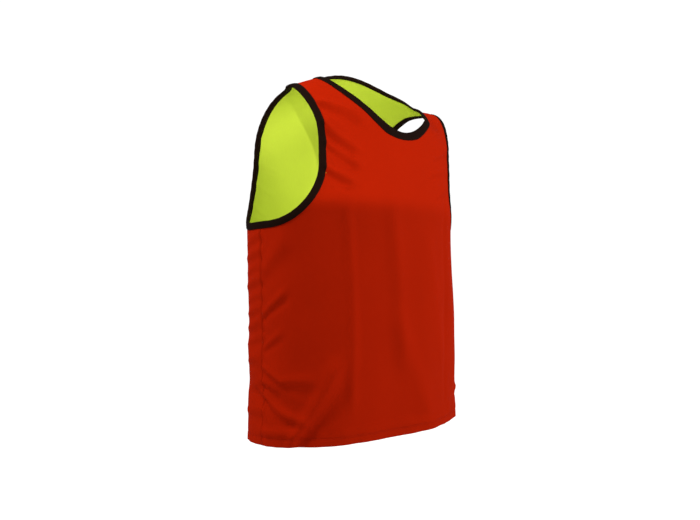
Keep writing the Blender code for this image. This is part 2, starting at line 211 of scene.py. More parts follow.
@dataclass(frozen=True)
class Cut:
    """The cut of one panel, and how it leaves the chest for the shoulder line."""

    name: str
    facing: Facing
    squareness: float
    chest_height: float
    upright_pull: float
    level_pull: float
    armhole_half_width: float
    armhole_curve_height: float
    underarm_pull: float
    upright_edge_pull: float
    shoulder_flare: float
    armhole_corner: float
    strap_foot: float
    neck_depth: float
    neck_centre_pull: float
    neck_side_pull: float
    neck_corner: float
    yoke_rows: int
    strap_rows: int

    over_steps = 128  # steps in measuring the way over the shoulder
    level_height = 0.20  # the height of the level section that girth is measured on

    @cached_property
    def way_over(self) -> Array:
        """Distances along the curve over the middle of a strap, at even shares of it."""
        middle = np.array([(FORM.neck_half_width + FORM.shoulder_half_width) / 2])
        height = np.array([self.chest_height])
        chest = self.ring_point(self.turn_at(middle, height), height)
        shares = np.linspace(0.0, 1.0, self.over_steps + 1)
        return way_along(self.over_point(np.repeat(chest, len(shares), axis=0), shares))

    @property
    def top(self) -> float:
        """Height of the shoulder seam on the cloth."""
        return self.chest_height + float(self.way_over[-1])

    @cached_property
    def girth_table(self) -> tuple[Array, Array]:
        """Turns, and the distance round the body from the panel's centre to each."""
        turns = np.linspace(-QUARTER, QUARTER, 721)
        way = way_along(self.ring_point(turns, np.full_like(turns, self.level_height)))
        return turns, way - way[-1] / 2

    def girth_at(self, turn: Array) -> Array:
        """Distance round the body from the panel's centre to each turn."""
        return np.interp(turn, *self.girth_table)

    def bearing_of(self, turn: Array) -> Array:
        """Degrees round the body from the front's centre."""
        degrees = np.degrees(turn)
        if self.facing is Facing.BACK:
            return np.where(degrees >= 0, 180.0, -180.0) - degrees
        return degrees

    def turn_at(self, x: Array, height: Array) -> Array:
        """The turn at which the panel reaches each x, at each height on the cloth."""
        half_width = FORM.ring_size("half_width", np.minimum(height, self.chest_height))
        share = np.minimum(np.abs(x) / half_width, 1.0)
        return np.copysign(np.arcsin(share ** (self.squareness / 2)), x)

    def ring_point(self, turn: Array, height: Array) -> Array:
        """Points of the trunk, or of its highest section above the chest."""
        level = np.minimum(height, self.chest_height)
        power = 2 / self.squareness
        half_width = FORM.ring_size("half_width", level)
        depth = FORM.ring_size(f"{self.name}_depth", level)
        x = np.copysign(half_width * np.abs(np.sin(turn)) ** power, turn)
        y = self.facing.value * depth * np.maximum(np.cos(turn), 0.0) ** power
        return np.stack([x, y, level], axis=-1)

    def over_point(self, chest: Array, share: Array) -> Array:
        """Points on the curves from the chest's section over to the shoulder line."""
        seam = FORM.shoulder_line(chest[:, 0])
        climb = seam[:, 2] - chest[:, 2]
        upright = chest.copy()
        upright[:, 2] += self.upright_pull * climb
        level = seam.copy()
        level[:, 1] += self.level_pull * (chest[:, 1] - seam[:, 1])
        return bezier((chest, upright, level, seam), share[:, None])

    def plain_point(self, turn: Array, height: Array) -> Array:
        """Points of the outer face before folds, with heights from the hem."""
        trunk = self.ring_point(turn, height)
        way = np.maximum(height - self.chest_height, 0.0)
        share = np.interp(way, self.way_over, np.linspace(0, 1, self.over_steps + 1))
        return np.where((height <= self.chest_height)[:, None], trunk, self.over_point(trunk, share))

    def armhole_edge(self, share: Array, inset: Array | float) -> tuple[Array, Array]:
        """The left armhole's edge, from the underarm up to the shoulder.

        Args:
            share: Shares of the run along the edge.
            inset: How far in from the cut edge, on the cloth.

        Returns:
            The x and the height of each place.
        """
        half_width = FORM.ring_size("half_width", np.array(FORM.underarm_height))
        low = FORM.underarm_height - inset
        high = FORM.underarm_height + self.armhole_curve_height
        edge = self.armhole_half_width - inset
        curve_length = (half_width - edge + high - low) * 0.8
        turn_over = curve_length / (curve_length + self.top - high)
        round_share = np.minimum(share / turn_over, 1.0)
        foot_x = mix(half_width, edge, self.underarm_pull)
        x = bezier((half_width, foot_x, edge, edge), round_share)
        pull = mix(high, low, self.upright_edge_pull)
        height = bezier((low, low, pull, high), round_share)
        straight = np.maximum((share - turn_over) / (1 - turn_over), 0.0)
        height = np.where(share <= turn_over, height, mix(high, self.top, straight))
        flare = smooth(1 - (self.top - height) / self.shoulder_flare)
        return x + (FORM.shoulder_half_width - self.armhole_half_width) * flare, height

    def neck_edge(self, share: Array, inset: Array | float) -> tuple[Array, Array]:
        """Half of the neck's edge, from its centre to the left shoulder, as x and height."""
        low = self.top - self.neck_depth - inset
        side = FORM.neck_half_width + inset
        x = bezier((0.0, self.neck_centre_pull * side, side, side), share)
        pull = mix(self.top, low, self.neck_side_pull)
        return x, bezier((low, low, pull, self.top), share)


FRONT = Cut(
    name="front", facing=Facing.FRONT, squareness=2.128, chest_height=0.609,
    upright_pull=0.447, level_pull=0.428, armhole_half_width=0.1947,
    armhole_curve_height=0.1088, underarm_pull=0.300, upright_edge_pull=0.473,
    shoulder_flare=0.16, armhole_corner=0.22, strap_foot=0.72, neck_depth=0.1211,
    neck_centre_pull=0.524, neck_side_pull=0.356, neck_corner=0.60,
    yoke_rows=9, strap_rows=6,
)
BACK = Cut(
    name="back", facing=Facing.BACK, squareness=2.520, chest_height=0.586,
    upright_pull=0.617, level_pull=0.645, armhole_half_width=0.1897,
    armhole_curve_height=0.2955, underarm_pull=0.550, upright_edge_pull=0.541,
    shoulder_flare=0.065, armhole_corner=0.24, strap_foot=0.88, neck_depth=0.0514,
    neck_centre_pull=0.504, neck_side_pull=0.486, neck_corner=0.72,
    yoke_rows=12, strap_rows=4,
)


# How the cloth is divided, as in the solids.

NECK_STRIPS = 6  # below half the neck
STRAP_STRIPS = 3  # across one strap
SIDE_STRIPS = 5  # below one armhole
YOKE_STRIPS = NECK_STRIPS + STRAP_STRIPS
HALF_STRIPS = YOKE_STRIPS + SIDE_STRIPS
BINDING_WIDTH = 0.012
HEM_ROWS = (0.0, 0.0015, 0.004, 0.008, 0.0115, 0.0130, 0.0145, 0.0162, 0.0178, 0.021)
SEAM_STEPS = np.array([0.05, 0.10, 0.16, 0.22, 0.30, 0.40, 0.52, 0.66, 0.83])  # in the strip at a seam


# Folds, creases and seams in the cloth.


class Crease(NamedTuple):
    """A soft ridge along a line on the cloth, or a trough where its rise is negative.

    A trough may lie beside it: on the right of the way from its start to its end. It dies
    out over its fade past both ends, and its middle may bow to the left of its line.
    """

    start_bearing: float
    start_height: float
    end_bearing: float
    end_height: float
    width: float
    rise: float
    trough: float = 0.0
    fade: float = 0.014
    bow: float = 0.0


def creases(*rows: tuple[float, ...], **shared: float) -> tuple[Crease, ...]:
    """Creases from rows of their values in order, with the values that all of them share."""
    return tuple(Crease(*row, **shared) for row in rows)


FOLDS = creases(  # the folds of the solids
    (-60, 0.0, -52, 0.24, 0.03, -0.0035),
    (-37, 0.02, -30, 0.3, 0.034, 0.003),
    (-9, 0.0, -6, 0.26, 0.026, -0.0035),
    (15, 0.04, 11, 0.33, 0.03, 0.0025),
    (42, 0.0, 36, 0.22, 0.028, -0.003),
    (66, 0.05, 60, 0.28, 0.03, 0.0025),
    (-104, 0.105, -76, 0.08, 0.017, -0.004),
    (-106, 0.175, -78, 0.14, 0.02, 0.003),
    (104, 0.13, 78, 0.1, 0.018, -0.0035),
    (102, 0.22, 80, 0.185, 0.022, 0.0028),
    (126, 0.0, 134, 0.25, 0.032, -0.004),
    (150, 0.03, 155, 0.34, 0.03, 0.003),
    (176, 0.0, 172, 0.28, 0.028, -0.004),
    (-158, 0.05, -153, 0.36, 0.03, 0.003),
    (-134, 0.0, -140, 0.24, 0.03, -0.0035),
    fade=0.045,
)

FRONT_CREASES = creases(
    # Beside the wearer's right armhole.
    (-41, 0.658, -24, 0.632, 0.008, 0.0052, 0.9),
    (-42, 0.615, -27, 0.574, 0.008, 0.0054, 1.0, 0.014, -0.003),
    (-42, 0.576, -26, 0.544, 0.0072, 0.0047, 1.0, 0.014, 0.002),
    (-43, 0.53, -30, 0.51, 0.0068, 0.005, 1.0),
    # Beside the wearer's left armhole.
    (23, 0.627, 37, 0.648, 0.008, 0.0017, 0.8),
    (24, 0.579, 36, 0.602, 0.007, 0.0018, 0.8),
    (21, 0.541, 35, 0.556, 0.0075, 0.0018, 0.8),
    (28, 0.497, 37, 0.512, 0.006, 0.0014, 0.8),
    # From the wearer's right side seam.
    (-88, 0.335, -70, 0.385, 0.016, 0.0026, 0.4),
    (-88, 0.252, -74, 0.283, 0.0066, 0.0034, 0.7, 0.02),
    (-87, 0.189, -78, 0.206, 0.0062, 0.0026, 0.7, 0.018),
    (-87, 0.146, -74, 0.122, 0.0065, 0.0042, 0.8),
    (-86, 0.117, -76, 0.107, 0.006, 0.0034, 0.7),
    (-69, 0.124, -56, 0.124, 0.01, 0.0028, 0.8, 0.02),
    (-88, 0.094, -60, 0.05, 0.008, 0.0052, 0.5, 0.02, -0.006),
    (-88, 0.026, -60, 0.026, 0.008, 0.0044),
    # From the wearer's left side seam.
    (69, 0.375, 88, 0.341, 0.014, 0.0018, 0.4),
    (72, 0.299, 87, 0.276, 0.008, 0.0021, 0.8),
    (76, 0.231, 86, 0.222, 0.006, 0.0017, 0.7),
    (67, 0.139, 87, 0.163, 0.007, 0.002, 0.9),
    (59, 0.066, 90, 0.094, 0.009, 0.003, 0.9, 0.014, -0.006),
    (60, 0.022, 91, 0.019, 0.008, 0.0012),
    # Over the belly and above the hem.
    (-64, 0.02, -42, 0.135, 0.014, 0.006, 0.9, 0.026, -0.006),
    (-31, 0.42, -31, 0.105, 0.01, 0.004, 0.0, 0.04),
    (-6, 0.42, -4, 0.18, 0.015, 0.0058, 0.0, 0.045),
    (-4, 0.2, 12, 0.03, 0.019, 0.005, 0.0, 0.045),
    (16, 0.38, 25, 0.16, 0.02, 0.003, 0.0, 0.035),
    (4, 0.034, 15, 0.028, 0.009, -0.0024),
    (36, 0.47, 31, 0.06, 0.012, -0.003, 0.0, 0.03),
    (-34, 0.02, 6, 0.022, 0.008, 0.0024),
    (19, 0.019, 48, 0.022, 0.0085, 0.001),
    (38, 0.027, 53, 0.128, 0.012, 0.001, 0.5),
    (-45, 0.466, 42, 0.462, 0.02, 0.0014, 0.6, 0.03),
)

BACK_CREASES = creases(
    # Behind the wearer's right side seam.
    (-109, 0.388, -93, 0.404, 0.007, 0.0016, 0.8),
    (-111, 0.36, -93, 0.373, 0.008, 0.0019, 0.8),
    (-108, 0.332, -93, 0.346, 0.0065, 0.0014, 0.7),
    (-111, 0.303, -93, 0.319, 0.008, 0.002, 0.8),
    (-107, 0.276, -93, 0.289, 0.006, 0.0013, 0.7),
    (-110, 0.249, -93, 0.262, 0.0075, 0.0018, 0.8),
    (-111, 0.22, -93, 0.235, 0.008, 0.0019, 0.8),
    (-108, 0.191, -93, 0.207, 0.006, 0.0014, 0.7),
    (-110, 0.155, -93, 0.168, 0.007, 0.0017, 0.8),
    (-109, 0.1, -93, 0.117, 0.007, 0.0016, 0.8),
    (-111, 0.058, -93, 0.066, 0.008, 0.0018, 0.8),
    # Behind the wearer's left side seam.
    (93, 0.399, 121, 0.379, 0.007, 0.0017, 0.8),
    (93, 0.361, 114, 0.347, 0.006, 0.0014, 0.7),
    (93, 0.332, 128, 0.303, 0.008, 0.002, 0.8),
    (93, 0.288, 117, 0.269, 0.007, 0.0016, 0.8),
    (93, 0.251, 124, 0.229, 0.0075, 0.0018, 0.8),
    (93, 0.183, 119, 0.162, 0.007, 0.0017, 0.8),
    (93, 0.083, 122, 0.067, 0.008, 0.0018, 0.8),
    # Beside the armholes, over the shoulder blades.
    (-152, 0.607, -136, 0.627, 0.0085, 0.0016, 0.8),
    (-155, 0.559, -136, 0.574, 0.009, 0.0017, 0.8),
    (-150, 0.508, -135, 0.525, 0.0075, 0.0014, 0.8),
    (-146, 0.459, -131, 0.479, 0.007, 0.0012, 0.8),
    (136, 0.635, 152, 0.613, 0.0085, 0.0016, 0.8),
    (136, 0.588, 155, 0.567, 0.009, 0.0018, 0.8),
    (134, 0.536, 148, 0.52, 0.007, 0.0013, 0.8),
    (131, 0.487, 145, 0.466, 0.007, 0.0012, 0.8),
    # Over the seat and above the hem.
    (147, 0.031, 168, 0.142, 0.011, 0.0026, 0.8),
    (-171, 0.148, -151, 0.026, 0.011, 0.0026, 0.8),
    (-177, 0.352, -179, 0.118, 0.007, 0.0018, 0.7, 0.03),
    (162, 0.437, 166, 0.19, 0.012, -0.002, 0.0, 0.03),
    (-166, 0.428, -163, 0.21, 0.013, -0.0018, 0.0, 0.03),
    (128, 0.02, 160, 0.019, 0.0085, 0.0011),
    (-162, 0.021, -131, 0.019, 0.0085, 0.0011),
    (140, 0.463, -140, 0.459, 0.02, 0.0012, 0.5, 0.03),
)


@dataclass(frozen=True)
class Relief:
    """How far the cloth stands proud of the worn form at each place.

    Args:
        folds: Its broad folds.
        creases: Its small creases, which die out at the bindings.
    """

    folds: tuple[Crease, ...]
    creases: tuple[Crease, ...]
    girth_radius: float = 0.195  # turns a bearing into a distance round the body
    pucker_pitch: float = 0.028
    pucker_rise: float = 0.0013
    pucker_reach: float = 0.013
    pucker_slant: float = 150  # radians of a pucker's wave to a metre off the seam
    seam_rise: float = 0.0009
    seam_width: float = 0.0026
    seam_trough: float = 0.0005
    edge_pitch: float = 0.021
    edge_rise: float = 0.0003
    edge_reach: float = 0.013
    edge_calm: tuple[float, float] = (0.004, 0.012)  # where creases start, and the way they grow
    hem_height: float = 0.0145
    hem_band: float = 0.0005
    hem_groove: float = 0.0007
    hem_wave: float = 0.0006
    hem_reach: float = 0.022
    slow_drift: float = 0.0010
    quick_drift: float = 0.0005

    def on_cloth(self, bearing: Array | float, height: Array | float) -> Array:
        """Distances round the body and up it, for bearings in degrees and heights."""
        return np.stack([np.radians(bearing) * self.girth_radius, height], axis=-1)

    def crease_rise(self, crease: Crease, bearing: Array, height: Array) -> Array:
        """The rise of one crease.

        Args:
            crease: The crease.
            bearing: Bearings of the places, in degrees.
            height: Their heights on the cloth.

        Returns:
            The rise at each place.
        """
        turned = (crease.end_bearing - crease.start_bearing + 180) % 360 - 180
        reach = self.on_cloth(turned, crease.end_height - crease.start_height)
        middle = crease.start_bearing + turned / 2
        near = middle + (bearing - middle + 180) % 360 - 180
        here = self.on_cloth(near, height) - self.on_cloth(crease.start_bearing, crease.start_height)
        length = float(np.linalg.norm(reach))
        along = reach / length
        run = here @ along
        share = np.clip(run / length, 0.0, 1.0)
        aside = here @ np.array([-along[1], along[0]]) - crease.bow * 4 * share * (1 - share)
        past = np.maximum(np.maximum(-run, run - length), 0.0)
        width = crease.width * (1 if crease.trough == 0 else mix(0.75, 1.2, share))
        profile = bell(aside, width) - crease.trough * bell(aside + 1.9 * width, 1.15 * width)
        return crease.rise * profile * bell(past, crease.fade)

    def side_rise(self, cut: Cut, turn: Array, height: Array) -> Array:
        """The seam's ridge and the puckers across it, along both sides.

        Args:
            cut: The panel's cut.
            turn: Turns of the places.
            height: Their heights on the cloth.

        Returns:
            The rise at each place.
        """
        side = cut.girth_at(np.full_like(turn, QUARTER)) - np.abs(cut.girth_at(turn))
        slant = side * cut.facing.value * self.pucker_slant * np.sign(turn)
        uneven = 0.9 * np.sin(height * 61 + np.sign(turn)) + 0.5 * np.sin(height * 143)
        wave = np.sin(2 * math.pi * height / self.pucker_pitch + slant + uneven)
        strength = 0.7 + 0.3 * np.sin(height * 37 + 2 * np.sign(turn))
        below = smooth((FORM.underarm_height + 0.02 - height) / 0.03)
        puckers = self.pucker_rise * wave * strength * np.exp(-side / self.pucker_reach)
        seam = self.seam_rise * bell(side, self.seam_width)
        seam -= self.seam_trough * bell(side - 0.0065, 0.0024)
        return (puckers + seam) * below

    def hem_rise(self, cut: Cut, turn: Array, height: Array) -> Array:
        """The doubled band at the hem, its stitch line and its small waves."""
        bearing = np.radians(cut.bearing_of(turn))
        band = self.hem_band * smooth((self.hem_height + 0.001 - height) / 0.002)
        line = -self.hem_groove * bell(height - self.hem_height, 0.0019)
        waves = np.sin(23 * bearing + 0.8) * np.sin(5 * bearing + 1) + 0.6 * np.sin(41 * bearing)
        return band + line + self.hem_wave * waves * np.exp(-height / self.hem_reach)

    def drift(self, cut: Cut, turn: Array, height: Array) -> Array:
        """The slight unevenness of cloth that hangs free."""
        bearing = np.radians(cut.bearing_of(turn))
        slow = np.sin(5 * bearing + 14 * height + 0.5) * np.sin(2 * bearing - 9 * height + 1.9)
        quick = np.sin(11 * bearing - 31 * height) * np.sin(4 * bearing + 23 * height + 0.7)
        return self.slow_drift * slow + self.quick_drift * quick

    def edge_ripple(self, cut: Cut, x: Array, height: Array) -> tuple[Array, Array]:
        """Small gathers that run in from the bindings, and how far off the bindings are.

        Args:
            cut: The panel's cut.
            x: The places' x.
            height: Their heights on the cloth.

        Returns:
            The rise at each place, and its distance from the nearest bound edge.
        """
        total, closest = np.zeros_like(height), np.full_like(height, 1.0)
        shares = np.linspace(0.0, 1.0, 121)
        for edge, pitch in ((cut.armhole_edge, self.edge_pitch), (cut.neck_edge, 1.3 * self.edge_pitch)):
            edge_x, edge_height = edge(shares, 0.0)
            steps = np.hypot(np.diff(edge_x), np.diff(edge_height))
            way = np.concatenate([[0.0], np.cumsum(steps)])
            gaps = np.hypot(np.abs(x)[:, None] - edge_x, height[:, None] - edge_height)
            nearest = np.argmin(gaps, axis=1)
            distance, run = gaps[np.arange(len(x)), nearest], way[nearest]
            wave = np.sin(2 * math.pi * run / pitch + 1.7 * np.sin(run * 27) + np.sign(x))
            window = np.sin(math.pi * np.clip(run / way[-1], 0, 1))
            total += self.edge_rise * wave * window * np.exp(-distance / self.edge_reach)
            closest = np.minimum(closest, distance)
        return total, closest

    def rise_at(self, cut: Cut, turn: Array, height: Array) -> Array:
        """The whole rise at each place of a panel."""
        bearing = cut.bearing_of(turn)
        x = cut.ring_point(turn, height)[:, 0]
        ripple, distance = self.edge_ripple(cut, x, height)
        small = sum(self.crease_rise(crease, bearing, height) for crease in self.creases)
        total = sum(self.crease_rise(fold, bearing, height) for fold in self.folds)
        total = total + small * ramp(distance, *self.edge_calm) + ripple
        total = total + self.side_rise(cut, turn, height) + self.hem_rise(cut, turn, height)
        return total + self.drift(cut, turn, height)


@dataclass(frozen=True)
class WornCloth:
    """The outer face of one side of the bib, with its folds."""

    cut: Cut
    relief: Relief
    step: float = 0.002  # the reach of a slope measurement
    neck_shift: tuple[float, float, float] = (-0.010, 0.008, -0.015)  # the askew strap's
    neck_x: float = 0.148
    neck_width: float = 0.040
    tip_shift: tuple[float, float, float] = (0.004, -0.005, 0.006)
    askew_up: tuple[float, float] = (-0.11, 0.09)  # where shifts start, and the way to the whole
    neck_back: tuple[float, float] = (-0.010, -0.05)
    tip_back: tuple[float, float] = (0.07, -0.08)
    tip_out: tuple[float, float] = (0.17, 0.045)

    def outward(self, place: Callable, turn: Array, height: Array) -> Array:
        """The outward normals of a surface, from the places around each point.

        Args:
            place: Gives the points at turns and heights.
            turn: Turns of the places.
            height: Their heights on the cloth.

        Returns:
            Unit normals, which both panels share along their seams.
        """
        cut = self.cut
        girth = self.step / self.relief.girth_radius
        right = place(np.minimum(turn + girth, QUARTER), height)
        left = place(np.maximum(turn - girth, -QUARTER), height)
        above = place(turn, np.minimum(height + self.step, cut.top))
        below = place(turn, np.maximum(height - self.step, 0.0))
        normal = np.cross(right - left, above - below) * -cut.facing.value
        at_seam = (np.abs(turn) > QUARTER - girth) | (height > cut.top - self.step)
        normal[:, 1] = np.where(at_seam, 0.0, normal[:, 1])
        return unit(normal)

    def folded(self, turn: Array, height: Array) -> Array:
        """Points of the outer face with its folds, heights from the hem."""
        rise = self.relief.rise_at(self.cut, turn, height)
        normal = self.outward(self.cut.plain_point, turn, height)
        return self.cut.plain_point(turn, height) + normal * rise[:, None]

    def surface(self, turn: Array, height: Array) -> tuple[Array, Array]:
        """Points of the outer face and their normals, in the part's frame."""
        cut = self.cut
        point = self.folded(turn, height)
        normal = self.outward(self.folded, turn, height)
        point[:, 2] -= FORM.length - FORM.both_layers
        return point + self.askew(point), normal

    def askew(self, point: Array) -> Array:
        """How the wearer's left strap lies lower at the neck than the right one.

        Args:
            point: Points in the part's frame.

        Returns:
            The shift of each point.
        """
        x, y, z = point.T
        strap = ramp(z, *self.askew_up)
        at_neck = strap * ramp(y, *self.neck_back) * bell(x - self.neck_x, self.neck_width)
        at_tip = strap * ramp(y, *self.tip_back) * ramp(x, *self.tip_out)
        return at_neck[:, None] * np.array(self.neck_shift) + at_tip[:, None] * np.array(self.tip_shift)


RELIEF = Relief(folds=FOLDS, creases=FRONT_CREASES + BACK_CREASES)
FRONT_CLOTH = WornCloth(FRONT, RELIEF)
BACK_CLOTH = WornCloth(BACK, RELIEF)


# The pattern of a panel, as a fine net of quads.


@dataclass(frozen=True)
class PatternNet:
    """A panel's places on the pattern and its quads, in the blocks of the solids.

    Args:
        cut: The panel's cut.
        fineness: Steps to each strip and row of the solids.
        hem_lift: How far the panel ends above the outer hem.
    """

    cut: Cut
    fineness: int
    hem_lift: float = 0.0
    body_steps: int = 13
    hem_evenness: float = 0.6  # how evenly the strips are spread along the hem

    def armhole_share(self, step: Array) -> Array:
        """How far along its run a step of the armhole lies."""
        cut = self.cut
        knots = (0, SIDE_STRIPS, SIDE_STRIPS + cut.yoke_rows, self.armhole_steps)
        return np.interp(step, knots, (0.0, cut.armhole_corner, cut.strap_foot, 1.0))

    def neck_share(self, step: Array) -> Array:
        """How far along its run a step of half the neck lies."""
        knots = (0, NECK_STRIPS, NECK_STRIPS + self.cut.strap_rows)
        return np.interp(step, knots, (0.0, self.cut.neck_corner, 1.0))

    @property
    def armhole_steps(self) -> int:
        """Steps along one armhole."""
        return SIDE_STRIPS + self.cut.yoke_rows + self.cut.strap_rows

    def steps(self, low: float, high: float) -> Array:
        """Even steps at the net's fineness."""
        return np.linspace(low, high, round((high - low) * self.fineness) + 1)

    def armhole_spot(self, step: Array, inset: Array | float = BINDING_WIDTH) -> Array:
        """Places (x, height) along an armhole, at an inset."""
        return np.stack(self.cut.armhole_edge(self.armhole_share(step), inset), axis=-1)

    def neck_spot(self, step: Array, inset: Array | float = BINDING_WIDTH) -> Array:
        """Places (x, height) along half the neck, at an inset."""
        return np.stack(self.cut.neck_edge(self.neck_share(step), inset), axis=-1)

    def body_top(self, strip: Array) -> Array:
        """Where the body's strips end: on the yoke's foot or at an armhole."""
        corner = self.armhole_spot(np.array([SIDE_STRIPS]))
        level = corner * np.stack([strip / YOKE_STRIPS, np.ones_like(strip)], axis=-1)
        beside = self.armhole_spot(HALF_STRIPS - strip)
        return np.where((strip >= YOKE_STRIPS)[:, None], beside, level)

    def yoke_top(self, strip: Array) -> Array:
        """Where the yoke's strips end: below the neck or on a strap's foot."""
        inner = self.neck_spot(np.array([NECK_STRIPS]))
        outer = self.armhole_spot(np.array([SIDE_STRIPS + self.cut.yoke_rows]))
        strap = mix(inner, outer, ((strip - NECK_STRIPS) / STRAP_STRIPS)[:, None])
        return np.where((strip <= NECK_STRIPS)[:, None], self.neck_spot(strip), strap)

    def yoke_spots(self, strip: Array, row: Array) -> Array:
        """Places of the yoke, which follow the armhole as much as they are near it."""
        share = (row / self.cut.yoke_rows)[:, None]
        end = np.array([YOKE_STRIPS], float)
        corner, foot = self.body_top(end), self.yoke_top(end)
        edge = self.armhole_spot(SIDE_STRIPS + row)
        spots = mix(self.body_top(strip), self.yoke_top(strip), share)
        return spots + (edge - mix(corner, foot, share)) * (strip / YOKE_STRIPS)[:, None]

    def strap_spots(self, across: Array, row: Array) -> Array:
        """Places of a strap, between the neck's inset line and the armhole's."""
        inner = self.neck_spot(NECK_STRIPS + row)
        outer = self.armhole_spot(SIDE_STRIPS + self.cut.yoke_rows + row)
        return mix(inner, outer, (across / STRAP_STRIPS)[:, None])

    def body_block(self) -> Array:
        """Turns and heights of the strips from the hem up to the yoke and the armholes."""
        beside_seam = np.sort(HALF_STRIPS - 1 + (1 - SEAM_STEPS))
        half = np.concatenate([self.steps(0, HALF_STRIPS - 1), beside_seam, [HALF_STRIPS]])
        strips = mirrored(half)
        tops = self.body_top(np.abs(strips))
        even_turn = QUARTER * strips / HALF_STRIPS
        top_turn = self.cut.turn_at(np.copysign(tops[:, 0], strips), tops[:, 1])
        top_turn = np.where(np.abs(strips) == HALF_STRIPS, even_turn, top_turn)
        hem_turn = mix(top_turn, even_turn, self.hem_evenness)
        low = np.array(HEM_ROWS) + self.hem_lift * (1 - np.array(HEM_ROWS) / HEM_ROWS[-1])
        shares = self.steps(0, self.body_steps - 1)[1:] / (self.body_steps - 1)
        heights = mix(low[-1], tops[:, 1:], shares[None, :])
        heights = np.concatenate([np.broadcast_to(low, (len(strips), len(low))), heights], axis=1)
        turns = mix(hem_turn[:, None], top_turn[:, None], smooth(heights / tops[:, 1:]))
        return np.stack([turns, heights], axis=-1)

    def block(self, spots: Callable, columns: Array, rows: Array, side: Array | int) -> Array:
        """Turns and heights of a block.

        Args:
            spots: Gives places (x, height) of the left half for columns and rows.
            columns: The block's columns.
            rows: Its rows.
            side: The sign of x of each column, or of the whole block.

        Returns:
            An array of columns by rows by two.
        """
        column, row = pairs(columns, rows)
        places = spots(np.abs(column), row)
        sign = np.broadcast_to(side, len(columns)).repeat(len(rows))
        turn = self.cut.turn_at(places[:, 0] * sign, places[:, 1])
        turn = np.where(np.abs(places[:, 0]) < 1e-9, 0.0, turn)
        return np.stack([turn, places[:, 1]], axis=-1).reshape(len(columns), len(rows), 2)

    def blocks(self) -> list[Array]:
        """All blocks of the panel."""
        cut = self.cut
        strips = mirrored(self.steps(0, YOKE_STRIPS))
        rows = self.steps(0, cut.yoke_rows)
        found = [self.body_block(), self.block(self.yoke_spots, strips, rows, np.sign(strips))]
        insets = np.linspace(BINDING_WIDTH, 0.0, 5)
        neck = mirrored(self.steps(0, NECK_STRIPS + cut.strap_rows))
        found.append(self.block(self.neck_spot, neck, insets, np.sign(neck)))
        armhole = np.concatenate([[0.0], SEAM_STEPS, self.steps(1, self.armhole_steps)])
        for side in (-1, 1):
            straps = self.steps(0, STRAP_STRIPS), self.steps(0, cut.strap_rows)
            found.append(self.block(self.strap_spots, *straps, side))
            edge = self.block(self.armhole_spot, armhole, insets, side)
            edge[0, :, 0] = side * QUARTER
            found.append(edge)
        return found

    def net(self) -> tuple[Array, Array]:
        """The places (turn, height) and the quads between them, each place held once."""
        places, quads, count = [], [], 0
        for block in self.blocks():
            index = np.arange(block.shape[0] * block.shape[1]).reshape(block.shape[:2]) + count
            corners = index[:-1, :-1], index[1:, :-1], index[1:, 1:], index[:-1, 1:]
            quads.append(np.stack([corner.ravel() for corner in corners], axis=-1))
            places.append(block.reshape(-1, 2))
            count += index.size
        places, quads = np.concatenate(places), np.concatenate(quads)
        keys = np.round(places * 1e6).astype(np.int64)
        _, first, inverse = np.unique(keys, axis=0, return_index=True, return_inverse=True)
        return places[first], inverse.ravel()[quads]


# Meshes.


def add_object(name: str, data: bpy.types.ID) -> bpy.types.Object:
    """An object for a mesh, a light or a camera, linked to the scene."""
    item = bpy.data.objects.new(name, data)
    bpy.context.scene.collection.objects.link(item)
    return item


def make_mesh(
    name: str, points: Array, faces: Sequence, face_uv: Array, finish: bpy.types.Material,
    smooth_faces: Array | None = None,
) -> bpy.types.Object:
    """A mesh object at the origin.

    Args:
        name: The piece's name.
        points: Its vertices.
        faces: Its faces, as lists of vertices.
        face_uv: A place on the cloth for each corner of each face.
        finish: Its material.
        smooth_faces: Which faces are shaded smooth, where not all are.

    Returns:
        The object, linked to the scene.
    """
    mesh = bpy.data.meshes.new(name)
    mesh.from_pydata(points.tolist(), [], [list(face) for face in faces])
    mesh.uv_layers.new(name=UV_NAME).uv.foreach_set("vector", np.asarray(face_uv, np.float32).ravel())
    mesh.materials.append(finish)
    mesh.shade_smooth()
    if smooth_faces is not None:
        mesh.polygons.foreach_set("use_smooth", smooth_faces)
    mesh.validate()
    return add_object(name, mesh)


def triangle_count(piece: bpy.types.Object) -> int:
    """How many triangles a mesh piece has."""
    return sum(len(face.vertices) - 2 for face in piece.data.polygons)


def open_sides(quads: Array) -> Array:
    """The sides that only one quad has, each in its quad's own direction."""
    sides = np.concatenate([quads[:, [k, (k + 1) % 4]] for k in range(4)])
    _, inverse, counts = np.unique(np.sort(sides, axis=1), axis=0, return_inverse=True, return_counts=True)
    return sides[counts[inverse.ravel()] == 1]


@dataclass(frozen=True)
class FlatCut:
    """A piece's flat size before it is sewn."""

    width: float
    length: float
    area: float


